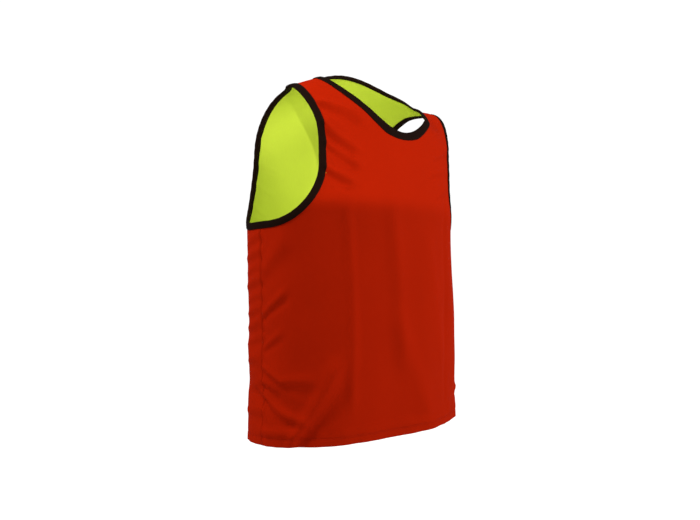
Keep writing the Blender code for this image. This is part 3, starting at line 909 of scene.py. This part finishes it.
@dataclass(frozen=True)
class ClothPanel:
    """One panel of one layer: a thin closed shell.

    Args:
        name: The piece's name.
        node: The solid that it stands for.
        cloth: The face that it follows.
        depth: How far its outer side lies below that face.
        fineness: Steps to each strip of the solids.
        hem_lift: How far it ends above the outer hem.
        hem_round: How far its hem's fold bulges down.
    """

    name: str
    node: str
    cloth: WornCloth
    depth: float
    fineness: int
    hem_lift: float = 0.0
    hem_round: float = 0.0004

    @cached_property
    def net(self) -> tuple[Array, Array]:
        """Its places on the pattern and its quads."""
        return PatternNet(self.cloth.cut, self.fineness, self.hem_lift).net()

    @cached_property
    def flat(self) -> FlatCut:
        """Its flat size, from the pattern."""
        places, quads = self.net
        cut = self.cloth.cut
        height = places[:, 1]
        level = cut.ring_point(np.full_like(height, QUARTER), height)[:, 0]
        measured = FORM.ring_size("half_width", np.array(cut.level_height))
        across = cut.girth_at(places[:, 0]) * level / measured
        spots = np.stack([across, height], axis=-1)[quads]
        after = np.roll(spots, -1, axis=1)
        areas = np.sum(spots[..., 0] * after[..., 1] - after[..., 0] * spots[..., 1], axis=1) / 2
        return FlatCut(float(np.ptp(across)), float(np.ptp(height)), float(np.abs(areas).sum()))

    def make(self, finish: bpy.types.Material, slot: str) -> bpy.types.Object:
        """Build the panel in place of its solid.

        Args:
            finish: Its material.
            slot: The record's material slot; not used.

        Returns:
            The finished piece.
        """
        places, quads = self.net
        point, normal = self.cloth.surface(places[:, 0], places[:, 1])
        crossed = np.cross(point[quads[:, 2]] - point[quads[:, 0]], point[quads[:, 3]] - point[quads[:, 1]])
        inward = np.sum(crossed * normal[quads[:, 0]], axis=1) < 0
        quads = np.where(inward[:, None], quads[:, ::-1], quads)
        rim = open_sides(quads)
        middle = point - normal * (self.depth + FORM.wall / 2)
        middle[:, 2] -= self.hem_round * (places[:, 1] <= self.hem_lift + 1e-6)
        outer, inner = point - normal * self.depth, point - normal * (self.depth + FORM.wall)
        points = np.concatenate([outer, inner, middle])
        count = len(point)
        start, end = rim[:, 0], rim[:, 1]
        faces = np.concatenate([
            quads,
            quads[:, ::-1] + count,
            np.stack([end, start, start + 2 * count, end + 2 * count], axis=-1),
            np.stack([end + 2 * count, start + 2 * count, start + count, end + count], axis=-1),
        ])
        used, faces = np.unique(faces, return_inverse=True)
        faces = faces.reshape(-1, 4)
        spots = np.stack([self.cloth.cut.girth_at(places[:, 0]), places[:, 1]], axis=-1)
        spots = np.tile(spots, (3, 1))[used]
        at_hem = np.tile(places[start, 1] + places[end, 1] < 2 * self.hem_lift + 1e-6, 2)
        smooth_faces = np.concatenate([np.ones(2 * len(quads), bool), at_hem])
        piece = make_mesh(self.name, points[used], faces.tolist(), spots[faces], finish, smooth_faces)
        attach(piece, "root")
        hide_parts(self.node)
        flat = self.flat
        LOG.info("%s: %d triangles, flat %.3f x %.3f m, %.4f m2", self.name, triangle_count(piece),
                 flat.width, flat.length, flat.area)
        return piece


# The folded bindings.


class Edge(Enum):
    """An edge of the bib that is bound."""

    NECK = "neck_binding"
    ARMHOLE_RIGHT = "armhole_binding_right"
    ARMHOLE_LEFT = "armhole_binding_left"


@dataclass(frozen=True)
class BindingPath:
    """The closed way along a bound edge: up or along the front, and back along the back.

    Args:
        edge: Which edge.
        pitch: The length of a step along it.
        back_reach: How much of an inset is kept along the back.
    """

    edge: Edge
    pitch: float = 0.0024
    back_reach: float = 1.0

    def along(self, cut: Cut) -> Callable:
        """The edge of a panel's cut that the path follows."""
        return cut.neck_edge if self.edge is Edge.NECK else cut.armhole_edge

    def side_run(self, cloth: WornCloth, insets: Array, side: int) -> tuple[Array, Array]:
        """Points and normals of the outer face along one edge of one panel.

        Args:
            cloth: The panel's cloth.
            insets: How far in from the edge.
            side: The sign of x there.

        Returns:
            Points and normals, each an array of insets by steps by three.
        """
        shares = np.linspace(0.0, 1.0, self.steps(cloth.cut) + 1)
        inset, share = pairs(insets, shares)
        if cloth.cut.facing is Facing.BACK:
            inset = inset * mix(1.0, self.back_reach, smooth((1 - share) / 0.3))
        x, height = self.along(cloth.cut)(share, inset)
        turn = cloth.cut.turn_at(x * side, height)
        if self.edge is not Edge.NECK:
            turn = np.where(share <= 0, side * QUARTER, turn)
        point, normal = cloth.surface(turn, height)
        shape = (len(insets), len(shares), 3)
        return point.reshape(shape), normal.reshape(shape)

    def run(self, insets: Array) -> tuple[Array, Array]:
        """Points and normals of the outer face all the way round.

        Args:
            insets: How far in from the edge.

        Returns:
            Points and normals, each an array of insets by steps by three.
        """
        if self.edge is Edge.NECK:
            parts = ((FRONT_CLOTH, 1, 1), (BACK_CLOTH, 1, -1), (BACK_CLOTH, -1, 1), (FRONT_CLOTH, -1, -1))
        else:
            side = 1 if self.edge is Edge.ARMHOLE_LEFT else -1
            parts = ((FRONT_CLOTH, side, 1), (BACK_CLOTH, side, -1))
        found = []
        for cloth, side, order in parts:
            point, normal = self.side_run(cloth, insets, side)
            found.append((point[:, ::order][:, :-1], normal[:, ::order][:, :-1]))
        points, normals = zip(*found)
        return np.concatenate(points, axis=1), np.concatenate(normals, axis=1)

    def steps(self, cut: Cut) -> int:
        """Steps along one panel's edge."""
        x, height = self.along(cut)(np.linspace(0.0, 1.0, 201), 0.0)
        return round(float(np.hypot(np.diff(x), np.diff(height)).sum()) / self.pitch)


@dataclass(frozen=True)
class Binding:
    """A strip folded over the edge of both layers, and sewn through.

    Args:
        path: The edge that it follows.
        width: How far it reaches onto the cloth.
        clear: The gap between it and the cloth.
        wall: Its thickness, which is the strip with its turned-in edges.
        stitch_inset: Where its stitches run, from the edge.
    """

    path: BindingPath
    width: float = BINDING_WIDTH
    clear: float = 0.0005
    wall: float = 0.0010
    stitch_inset: float = 0.0100
    swell: float = 0.0002
    inside_neck: float = 0.55  # the inner leg's reach behind the neck, as a share
    inside_arm: float = 1.15  # and behind the armholes
    closing_step: float = 0.0005  # from the section's last corner to its first
    fold_bulge: float = 0.0021  # how far the fold stands beyond the edge
    fold_start: float = 0.001  # the part of it that can swell stands farther out than this
    slack_reach: float = 0.03  # how far up the armholes the strip is slack

    def half_section(self) -> tuple[Array, Array]:
        """The outer leg's outside, from its free edge to the fold, as inset and height."""
        far = self.clear + self.wall
        inset = [12.0, 12.0, 11.7, 11.0, 10.5, 10.0, 9.5, 8.8, 7.5, 6.0, 4.5, 3.0, 1.6, 0.5]
        rise = [0.50, 0.95, 1.30, 1.5, 1.45, 1.2, 1.45, 1.6, 1.75, 1.85, 1.85, 1.8, 1.7, 1.6]
        return np.array(inset) / 1000, np.array(rise) / 1000 + (far - 0.0015)

    @property
    def inside_path(self) -> BindingPath:
        """The way of the leg on the inside."""
        reach = self.inside_neck if self.path.edge is Edge.NECK else self.inside_arm
        return replace(self.path, back_reach=reach)

    def section(self) -> tuple[Array, Array, Array]:
        """The closed section of the strip.

        Returns:
            The inset of each corner, how far it stands beyond the edge, and its height over
            the cloth's outer face.
        """
        inset, rise = self.half_section()
        middle = -FORM.both_layers / 2
        radius = float(rise[-1]) - middle
        angles = np.linspace(0.15 * math.pi, 0.85 * math.pi, 6)
        fold_out = self.fold_bulge * np.sin(angles)
        fold_rise = middle + radius * np.cos(angles)
        under = np.array([0.5, 3.0, 6.0, 9.0, 12.0])[::-1] / 1000
        near = np.full_like(under, self.clear)
        turn_out = np.array([0.0004, 0.0006, 0.0004])
        turn_rise = np.array([0.0001, middle, 2 * middle - 0.0001])
        insets = (inset, 0 * fold_out, inset[::-1], under[:-1], 0 * turn_out, under[::-1][:-1])
        beyond = (0 * inset, fold_out, 0 * inset, 0 * under[:-1], turn_out, 0 * under[:-1])
        back = 2 * middle - rise[::-1]
        rises = (rise, fold_rise, back, 2 * middle - near[:-1], turn_rise[::-1], near[:-1])
        return np.concatenate(insets), np.concatenate(beyond), np.concatenate(rises)

    def wrinkles(self, way: Array, slack: Array) -> Array:
        """How far the strip's outside swells along its way, more where it is slack."""
        wave = np.sin(way * 620 + 1.4 * np.sin(way * 97)) * np.sin(way * 233 + 0.6)
        return self.swell * (0.25 + 1.9 * slack) * (0.5 + 0.5 * wave)

    def rings(self) -> tuple[Array, Array]:
        """The strip's corners, section by section.

        Returns:
            An array of rings by corners by three, and the way along the edge to each ring.
        """
        insets, beyond, rises = self.section()
        (edge_point, inner_point), (edge_normal, _) = self.path.run(np.array([0.0, self.width]))
        out = edge_point - inner_point
        out = unit(out - edge_normal * np.sum(out * edge_normal, axis=1, keepdims=True))
        way = way_along(np.concatenate([edge_point, edge_point[:1]]))
        slack = np.zeros(len(edge_point))
        if self.path.edge is not Edge.NECK:
            slack = bell(edge_point[:, 2] - edge_point[:, 2].min(), self.slack_reach)
        swell = self.wrinkles(way[:-1], slack)
        middle = -FORM.both_layers / 2
        is_outer = ((rises > middle) | (beyond > 0))[:, None, None]
        outer, inner = self.path.run(insets), self.inside_path.run(insets)
        point, normal = (np.where(is_outer, *pair) for pair in zip(outer, inner))
        at_fold = beyond > self.fold_start
        outside = (np.abs(rises - middle) > self.clear + 0.0006 - middle) | at_fold
        rise = rises[:, None] + swell * (outside * np.sign(rises - middle))[:, None]
        past = beyond[:, None] + swell * at_fold[:, None]
        corners = point + normal * rise[..., None] + out * past[..., None]
        return corners.transpose(1, 0, 2), way

    def make(self, finish: bpy.types.Material) -> bpy.types.Object:
        """Build the binding in place of its solid.

        Args:
            finish: Its material.

        Returns:
            The finished piece.
        """
        points, way = self.rings()
        rings, size = points.shape[:2]
        ring, corner = pairs(np.arange(rings), np.arange(size))
        ring, corner = ring[:, None] + np.array([0, 1, 1, 0]), corner[:, None] + np.array([0, 0, 1, 1])
        quads = ring % rings * size + corner % size
        insets, _, rises = self.section()
        section_way = np.concatenate([[0.0], np.cumsum(np.hypot(np.diff(insets), np.diff(rises)))])
        section_way = np.append(section_way, section_way[-1] + self.closing_step)
        face_uv = np.stack([way[ring], section_way[corner]], axis=-1)
        ring_points = points.reshape(-1, 3)
        start, along, _, over = (ring_points[quads[:, k]] for k in range(4))
        centre = np.repeat(points.mean(axis=1), size, axis=0)
        if np.sum(np.cross(along - start, over - start) * (start - centre)) < 0:
            quads, face_uv = quads[:, ::-1], face_uv[:, ::-1]
        piece = make_mesh(f"{self.path.edge.value}_cloth", ring_points, quads.tolist(), face_uv, finish)
        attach(piece, "root")
        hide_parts(self.path.edge.value)
        length, width = float(way[-1]), 2 * self.width + FORM.both_layers + 2 * (self.clear + self.wall)
        LOG.info("%s: %d triangles, flat %.4f x %.3f m", piece.name, triangle_count(piece), width, length)
        return piece

    def stitch_lines(self) -> list[Array]:
        """The ways of the stitches, on the outside and on the inside."""
        inset = np.array([self.stitch_inset])
        (outside,), (normal,) = self.path.run(inset)
        (inside,), (inner_normal,) = self.inside_path.run(inset)
        far = self.clear + self.wall - 0.0002
        return [outside + normal * far, inside - inner_normal * (FORM.both_layers + far)]


# Trees of nodes.


class Shade:
    """A node's value that arithmetic works on."""

    def __init__(self, graph: "Graph", socket: bpy.types.NodeSocket) -> None:
        """Hold a socket of a graph."""
        self.graph = graph
        self.socket = socket

    def _math(self, operation: str, *values: "Shade | float") -> "Shade":
        """A Math node over the values."""
        return self.graph.node("ShaderNodeMath", dict(enumerate(values)), operation=operation)

    def __add__(self, other: "Shade | float") -> "Shade":
        """The sum."""
        return self._math("ADD", self, other)

    def __radd__(self, other: float) -> "Shade":
        """The sum, with a plain number first."""
        return self._math("ADD", other, self)

    def __sub__(self, other: "Shade | float") -> "Shade":
        """The difference."""
        return self._math("SUBTRACT", self, other)

    def __mul__(self, other: "Shade | float") -> "Shade":
        """The product."""
        return self._math("MULTIPLY", self, other)

    def sine(self) -> "Shade":
        """The sine, of radians."""
        return self._math("SINE", self)

    def absolute(self) -> "Shade":
        """The size without the sign."""
        return self._math("ABSOLUTE", self)

    def fraction(self) -> "Shade":
        """What is left over whole numbers."""
        return self._math("FRACT", self)


class Graph:
    """A tree of nodes, for a material or for Geometry Nodes."""

    def __init__(self, tree: bpy.types.NodeTree) -> None:
        """Hold the tree."""
        self.tree = tree

    def put(self, socket: bpy.types.NodeSocket, value: object) -> None:
        """Link a shade to a socket, or set a plain value on it."""
        if isinstance(value, Shade):
            self.tree.links.new(value.socket, socket)
        else:
            socket.default_value = value

    def node(
        self, kind: str, inputs: dict | None = None, output: int | str = 0, **settings: object
    ) -> Shade:
        """Add a node of any kind.

        Args:
            kind: The node's type.
            inputs: Values or shades by socket name or number.
            output: Which output to return.
            **settings: The node's own settings.

        Returns:
            The output as a shade.
        """
        node = self.tree.nodes.new(kind)
        for key, value in settings.items():
            setattr(node, key, value)
        for key, value in (inputs or {}).items():
            self.put(node.inputs[key], value)
        return Shade(self, node.outputs[output])


# Stitches.

THREAD_LIFT = 0.0001  # how far the hem's threads lie off the cloth


@dataclass(frozen=True)
class StitchRow:
    """A row of short stitches, laid along lines by a Geometry Nodes group.

    Args:
        name: The piece's name.
        pitch: From one stitch to the next.
        radius: Half of the thread's thickness.
        cover: The stitch's length as a share of the pitch.
    """

    name: str
    pitch: float = 0.0026
    radius: float = 0.00028
    cover: float = 0.86

    def group(self) -> bpy.types.NodeTree:
        """The node group that lays the stitches."""
        tree = bpy.data.node_groups.new(f"{self.name}_group", "GeometryNodeTree")
        inputs = {"Lines": "Geometry", "Pitch": "Float", "Radius": "Float", "Cover": "Float"}
        inputs["Finish"] = "Material"
        for label, kind in inputs.items():
            tree.interface.new_socket(label, in_out="INPUT", socket_type=f"NodeSocket{kind}")
        tree.interface.new_socket("Stitches", in_out="OUTPUT", socket_type="NodeSocketGeometry")
        graph = Graph(tree)
        entry = tree.nodes.new("NodeGroupInput")
        lines, pitch, radius, cover, finish = (Shade(graph, entry.outputs[label]) for label in inputs)
        curve = graph.node("GeometryNodeMeshToCurve", {"Mesh": lines})
        spots = graph.node("GeometryNodeResampleCurve", {"Curve": curve, "Length": pitch}, mode="LENGTH")
        bead = graph.node("GeometryNodeMeshUVSphere", {"Segments": 6, "Rings": 4, "Radius": 1.0})
        bead = graph.node("GeometryNodeSetShadeSmooth", {"Geometry": bead})
        size = graph.node("ShaderNodeCombineXYZ", {"X": radius, "Y": radius, "Z": pitch * cover * 0.5})
        tangent = graph.node("GeometryNodeInputTangent")
        turned = graph.node("FunctionNodeAlignRotationToVector", {"Vector": tangent}, axis="Z")
        laying = {"Points": spots, "Instance": bead, "Rotation": turned, "Scale": size}
        laid = graph.node("GeometryNodeInstanceOnPoints", laying)
        laid = graph.node("GeometryNodeRealizeInstances", {"Geometry": laid})
        laid = graph.node("GeometryNodeSetMaterial", {"Geometry": laid, "Material": finish})
        graph.put(tree.nodes.new("NodeGroupOutput").inputs["Stitches"], laid)
        return tree

    def make(self, lines: list[Array], finish: bpy.types.Material, slot: str) -> bpy.types.Object:
        """Lay the stitches along lines.

        Args:
            lines: Points along each line, which ends where it starts.
            finish: The thread's material.
            slot: The record's material slot; not used.

        Returns:
            The stitches, as one plain mesh.
        """
        edges, count = [], 0
        for line in lines:
            edges += [(count + k, count + (k + 1) % len(line)) for k in range(len(line))]
            count += len(line)
        mesh = bpy.data.meshes.new(f"{self.name}_lines")
        mesh.from_pydata(np.concatenate(lines).tolist(), edges, [])
        piece = add_object(self.name, mesh)
        modifier = piece.modifiers.new("stitches", "NODES")
        modifier.node_group = self.group()
        values = {"Pitch": self.pitch, "Radius": self.radius, "Cover": self.cover, "Finish": finish}
        for item in modifier.node_group.interface.items_tree:
            if item.in_out == "INPUT" and item.name in values:
                modifier[item.identifier] = values[item.name]
        bpy.context.view_layer.update()
        depsgraph = bpy.context.evaluated_depsgraph_get()
        laid = bpy.data.meshes.new_from_object(piece.evaluated_get(depsgraph))
        piece.modifiers.clear()
        piece.data = laid
        laid.name = self.name
        bpy.data.meshes.remove(mesh)
        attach(piece, "root")
        LOG.info("%s: %d triangles", self.name, triangle_count(piece))
        return piece


@dataclass(frozen=True)
class HemStitching:
    """Twin rows of stitches round the hem of one layer.

    Args:
        depth: How far they lie below the outer face.
        rows: Their heights on the cloth.
    """

    depth: float
    rows: tuple[float, float] = (0.0130, 0.0162)

    def lines(self) -> list[Array]:
        """The closed way of each row, round the front and the back."""
        found = []
        turns = np.linspace(-QUARTER, QUARTER, 261)
        for height in self.rows:
            heights = np.full_like(turns, height)
            front, front_normal = FRONT_CLOTH.surface(turns, heights)
            back, back_normal = BACK_CLOTH.surface(turns[::-1], heights)
            ring = [front - front_normal * self.depth, (back - back_normal * self.depth)[1:-1]]
            found.append(np.concatenate(ring))
        return found


# Materials.


class MaterialGraph(Graph):
    """A material's nodes, around one Principled shader."""

    def __init__(self, name: str) -> None:
        """Start a material with its shader."""
        self.material = bpy.data.materials.new(name)
        self.material.use_nodes = True
        super().__init__(self.material.node_tree)
        self.shader = self.tree.nodes["Principled BSDF"]

    def place(self) -> tuple[Shade, Shade]:
        """The place on the cloth, in metres round the body and up it."""
        uv = self.node("ShaderNodeUVMap", uv_map=UV_NAME)
        split = self.node("ShaderNodeSeparateXYZ", {0: uv})
        return split, Shade(self, split.socket.node.outputs[1])

    def noise(
        self, scale: float, detail: float = 2.0, stretch: tuple[float, float, float] = (1, 1, 1)
    ) -> Shade:
        """Smooth noise from 0 to 1, fixed to the object."""
        where = self.node("ShaderNodeTexCoord", output="Object")
        where = self.node("ShaderNodeMapping", {"Vector": where, "Scale": stretch})
        inputs = {"Vector": where, "Scale": scale, "Detail": detail}
        return self.node("ShaderNodeTexNoise", inputs, output="Fac")

    def blend(self, share: Shade | float, low: Color, high: Color) -> Shade:
        """A colour between two, by a share."""
        inputs = {0: share, 6: (*low, 1.0), 7: (*high, 1.0)}
        return self.node("ShaderNodeMix", inputs, output=2, data_type="RGBA")

    def finish(
        self, color: Shade, roughness: Shade, height: Shade, depth: float, specular: float
    ) -> bpy.types.Material:
        """Join everything to the shader.

        Args:
            color: The base colour.
            roughness: The roughness.
            height: The texture's height, from 0 to 1.
            depth: The height's real depth.
            specular: How much the surface mirrors.

        Returns:
            The material.
        """
        self.put(self.shader.inputs["Base Color"], color)
        self.put(self.shader.inputs["Roughness"], roughness)
        self.shader.inputs["Specular IOR Level"].default_value = specular
        bump = self.node("ShaderNodeBump", {"Height": height, "Strength": 0.8, "Distance": depth})
        self.put(self.shader.inputs["Normal"], bump)
        return self.material


def tint(color: Color, factor: float) -> Color:
    """A colour made lighter or darker."""
    return tuple(part * factor for part in color)


@dataclass(frozen=True)
class KnitFinish:
    """Light interlock knit: columns of small loops, slightly uneven in dye.

    Args:
        name: The material's name.
        color: Its dyed colour.
        wale: The width of one column of loops.
        course: The height of one row of loops.
        specular: How much the yarn mirrors.
    """

    name: str
    color: Color
    wale: float = 0.0011
    course: float = 0.0009
    specular: float = 0.015
    depth: float = 0.00016  # how deep the loops are

    def make(self) -> bpy.types.Material:
        """The material."""
        graph = MaterialGraph(self.name)
        across, up = graph.place()
        column = (across * (1 / self.wale)).fraction() - 0.5
        legs = (across * (math.pi / self.wale)).sine().absolute()
        loops = (up * (2 * math.pi / self.course) + column.absolute() * 4.4).sine() * 0.5 + 0.5
        hairs = graph.noise(2600.0, 1.0)
        height = legs * 0.55 + loops * legs * 0.3 + hairs * 0.25
        dye = graph.noise(9.0, 3.0)
        yarn = graph.noise(420.0, 2.0, (1.0, 1.0, 0.18))
        share = dye * 0.45 + yarn * 0.35 + loops * 0.2
        color = graph.blend(share, tint(self.color, 0.88), tint(self.color, 1.10))
        return graph.finish(color, 0.80 + yarn * 0.16, height, self.depth, self.specular)


@dataclass(frozen=True)
class BindingFinish:
    """Narrow black rib knit, with ribs across the strip."""

    name: str
    color: Color
    rib: float = 0.0010
    row: float = 0.0008
    specular: float = 0.03
    depth: float = 0.00014

    def make(self) -> bpy.types.Material:
        """The material."""
        graph = MaterialGraph(self.name)
        along, over = graph.place()
        ribs = (along * (math.pi / self.rib)).sine().absolute()
        rows = (over * (math.pi / self.row)).sine().absolute()
        fibre = graph.noise(1900.0, 2.0)
        height = ribs * 0.6 + rows * ribs * 0.2 + fibre * 0.25
        lint = graph.noise(70.0, 4.0)
        color = graph.blend(lint * 0.6 + ribs * 0.4, tint(self.color, 0.75), tint(self.color, 1.45))
        return graph.finish(color, 0.74 + fibre * 0.2, height, self.depth, self.specular)


@dataclass(frozen=True)
class ThreadFinish:
    """Spun polyester thread."""

    name: str
    color: Color
    specular: float = 0.08
    depth: float = 0.00008

    def make(self) -> bpy.types.Material:
        """The material."""
        graph = MaterialGraph(self.name)
        twist = graph.noise(1400.0, 1.0, (1.0, 1.0, 0.5))
        worn = graph.noise(60.0, 2.0)
        color = graph.blend(worn * 0.6 + twist * 0.4, tint(self.color, 0.85), tint(self.color, 1.2))
        return graph.finish(color, 0.6 + twist * 0.25, twist, self.depth, self.specular)


# The studio.


class Lamp(NamedTuple):
    """A studio light: an area light's side, or another light's radius, is its size."""

    kind: str
    name: str
    place: tuple[float, float, float]
    target: tuple[float, float, float]
    size: float
    power: float

    def make(self) -> bpy.types.Object:
        """Set up the light, turned to its target."""
        light = bpy.data.lights.new(self.name, self.kind)
        light.energy = self.power
        setattr(light, "size" if self.kind == "AREA" else "shadow_soft_size", self.size)
        lamp = add_object(self.name, light)
        lamp.location = self.place
        if self.kind != "POINT":
            ahead = Vector(self.target) - Vector(self.place)
            lamp.rotation_euler = ahead.to_track_quat("-Z", "Y").to_euler()
        return lamp


@dataclass(frozen=True)
class Studio:
    """White surroundings, a pale floor, soft lights and the photograph's camera.

    Args:
        bearing: The camera's direction from the object, in degrees from straight in front.
        distance: How far it stands from the object's middle.
        height: Its height above the hem.
        yaw: How far it is turned from facing the middle, in degrees.
        pitch: How far it looks up.
        roll: How far it is tilted.
        focal: Its focal length in pixels of a frame 700 wide.
        floor_z: The floor's level.
    """

    bearing: float = 44.1063
    distance: float = 1.5315
    height: float = 0.2941
    yaw: float = -0.767
    pitch: float = 2.4153
    roll: float = -0.9161
    focal: float = 700.59
    floor_z: float = -1.65
    floor_reach: float = 20.0
    floor_glow: float = 0.75  # what the floor adds to its own brightness, for the camera alone
    surround: float = 1.05  # how bright the surroundings look
    ambient: float = 0.41  # how much light they give
    beam_angle: float = 100.0
    beam_softness: float = 0.05
    sensor: float = 36.0
    lamps: tuple[Lamp, ...] = (
        Lamp("AREA", "key", (0.25, -2.0, 0.95), (0.0, -0.10, -0.30), 0.7, 12.0),
        Lamp("AREA", "left", (1.35, -1.60, 0.05), (0.0, 0.0, -0.45), 0.6, 19.0),
        Lamp("AREA", "right", (-1.4, 0.40, 1.15), (-0.20, 0.0, -0.45), 0.5, 28.0),
    )
    beam: Lamp = Lamp("SPOT", "chest", (-1.04, -1.08, -0.06), (-0.178, 0.023, 1.144), 0.015, 34.0)
    inside_x: float = 0.02
    inside_y: float = -0.05
    inside_radius: float = 0.06
    inside_lamps: tuple[tuple[str, float, float], ...] = (  # name, height and power
        ("neck", 0.02, 0.17), ("chest", -0.28, 0.15), ("waist", -0.50, 0.13),
    )

    def make(self) -> None:
        """Set up the whole studio."""
        self.make_world()
        self.make_floor()
        self.make_lights()
        self.make_camera()

    def make_world(self) -> None:
        """Even white surroundings."""
        world = bpy.data.worlds.new("studio")
        world.use_nodes = True
        tree = world.node_tree
        background = tree.nodes["Background"]
        background.inputs["Color"].default_value = (1.0, 1.0, 1.0, 1.0)
        path = tree.nodes.new("ShaderNodeLightPath")
        strength = tree.nodes.new("ShaderNodeMapRange")
        strength.inputs["To Min"].default_value = self.ambient
        strength.inputs["To Max"].default_value = self.surround
        tree.links.new(path.outputs["Is Camera Ray"], strength.inputs["Value"])
        tree.links.new(strength.outputs["Result"], background.inputs["Strength"])
        bpy.context.scene.world = world
        bpy.context.scene.view_settings.view_transform = "Standard"

    def make_floor(self) -> None:
        """A wide, plain, pale floor."""
        graph = MaterialGraph("studio_floor")
        color = graph.blend(graph.noise(2.0), (0.93, 0.93, 0.93), (0.95, 0.95, 0.95))
        graph.put(graph.shader.inputs["Base Color"], color)
        graph.shader.inputs["Roughness"].default_value = 0.9
        graph.shader.inputs["Emission Color"].default_value = (1.0, 1.0, 1.0, 1.0)
        seen = graph.node("ShaderNodeLightPath", output="Is Camera Ray")
        graph.put(graph.shader.inputs["Emission Strength"], seen * self.floor_glow)
        sides = ((-1, -1), (1, -1), (1, 1), (-1, 1))
        corners = np.array([(x * self.floor_reach, y * self.floor_reach, self.floor_z) for x, y in sides])
        uv = corners[None, :, :2]
        floor = make_mesh("studio_floor", corners, [(0, 1, 2, 3)], uv, graph.material)

    def make_lights(self) -> None:
        """Soft lights, a beam whose edge crosses the chest, and unseen lamps in the garment."""
        for lamp in self.lamps:
            lamp.make()
        beam = self.beam.make().data
        beam.spot_size = math.radians(self.beam_angle)
        beam.spot_blend = self.beam_softness
        for name, height, power in self.inside_lamps:
            place = (self.inside_x, self.inside_y, height)
            lamp = Lamp("POINT", f"inside_{name}", place, place, self.inside_radius, power)
            lamp.make().visible_camera = False

    def make_camera(self) -> None:
        """The camera at the photograph's viewpoint."""
        turn = math.radians(self.bearing)
        place = Vector((-math.sin(turn), -math.cos(turn), 0.0)) * self.distance
        place.z = HEM_Z + self.height
        yaw, pitch, roll = (math.radians(a) for a in (self.bearing + self.yaw, self.pitch, self.roll))
        ahead = Vector((math.sin(yaw) * math.cos(pitch), math.cos(yaw) * math.cos(pitch), math.sin(pitch)))
        right = Vector((math.cos(yaw), -math.sin(yaw), 0.0))
        up = right.cross(ahead)
        cosine, sine = math.cos(roll), math.sin(roll)
        right, up = right * cosine + up * sine, up * cosine - right * sine
        lens = bpy.data.cameras.new("photo_camera")
        lens.sensor_width = self.sensor
        lens.lens = self.focal * self.sensor / FRAME_WIDTH
        camera = add_object("photo_camera", lens)
        axes = Matrix((right, up, -ahead)).transposed().to_4x4()
        camera.matrix_world = Matrix.Translation(place) @ axes
        bpy.context.scene.camera = camera


# The whole bib.


@dataclass(frozen=True)
class TrainingBib:
    """The reversible bib: a red layer over a yellow-green one, with black bindings."""

    red: Color = (0.400, 0.0118, 0.0006)
    lime: Color = (0.620, 0.735, 0.062)
    black: Color = (0.0085, 0.0032, 0.0018)
    outer_fineness: int = 6
    inner_fineness: int = 5
    inner_hem_lift: float = 0.003

    def make(self) -> None:
        """Build every piece."""
        self.make_layers()
        self.make_bindings()
        self.make_hem_stitches()

    def make_layers(self) -> None:
        """The four panels."""
        red = KnitFinish("red_interlock", self.red).make()
        lime = KnitFinish("yellow_green_interlock", self.lime).make()
        inner_depth = FORM.wall + FORM.gap
        for cloth in (FRONT_CLOTH, BACK_CLOTH):
            name = cloth.cut.name
            outer, inner = f"{name}_outer", f"{name}_inner"
            panel = ClothPanel(f"{outer}_cloth", outer, cloth, 0.0, self.outer_fineness)
            panel.make(red, "outer_knit")
            fineness, lift = self.inner_fineness, self.inner_hem_lift
            panel = ClothPanel(f"{inner}_cloth", inner, cloth, inner_depth, fineness, lift)
            panel.make(lime, "inner_knit")

    def make_bindings(self) -> None:
        """The three bindings with their stitches."""
        black = BindingFinish("black_rib", self.black).make()
        thread = ThreadFinish("black_thread", tint(self.black, 1.6)).make()
        for edge in Edge:
            binding = Binding(BindingPath(edge))
            binding.make(black)
            name = edge.value.replace("binding", "stitches")
            StitchRow(name).make(binding.stitch_lines(), thread, "binding")

    def make_hem_stitches(self) -> None:
        """Twin rows round the hem of each layer."""
        red = ThreadFinish("red_thread", tint(self.red, 0.92)).make()
        lime = ThreadFinish("yellow_green_thread", tint(self.lime, 0.92)).make()
        inside = FORM.both_layers + THREAD_LIFT
        StitchRow("outer_hem_stitches").make(HemStitching(-THREAD_LIFT).lines(), red, "outer_knit")
        StitchRow("inner_hem_stitches").make(HemStitching(inside).lines(), lime, "inner_knit")


def main() -> None:
    """Build the bib and the studio."""
    logging.basicConfig(level=logging.INFO, format="%(name)s: %(message)s")
    TrainingBib().make()
    Studio().make()


if __name__ == "__main__":
    main()
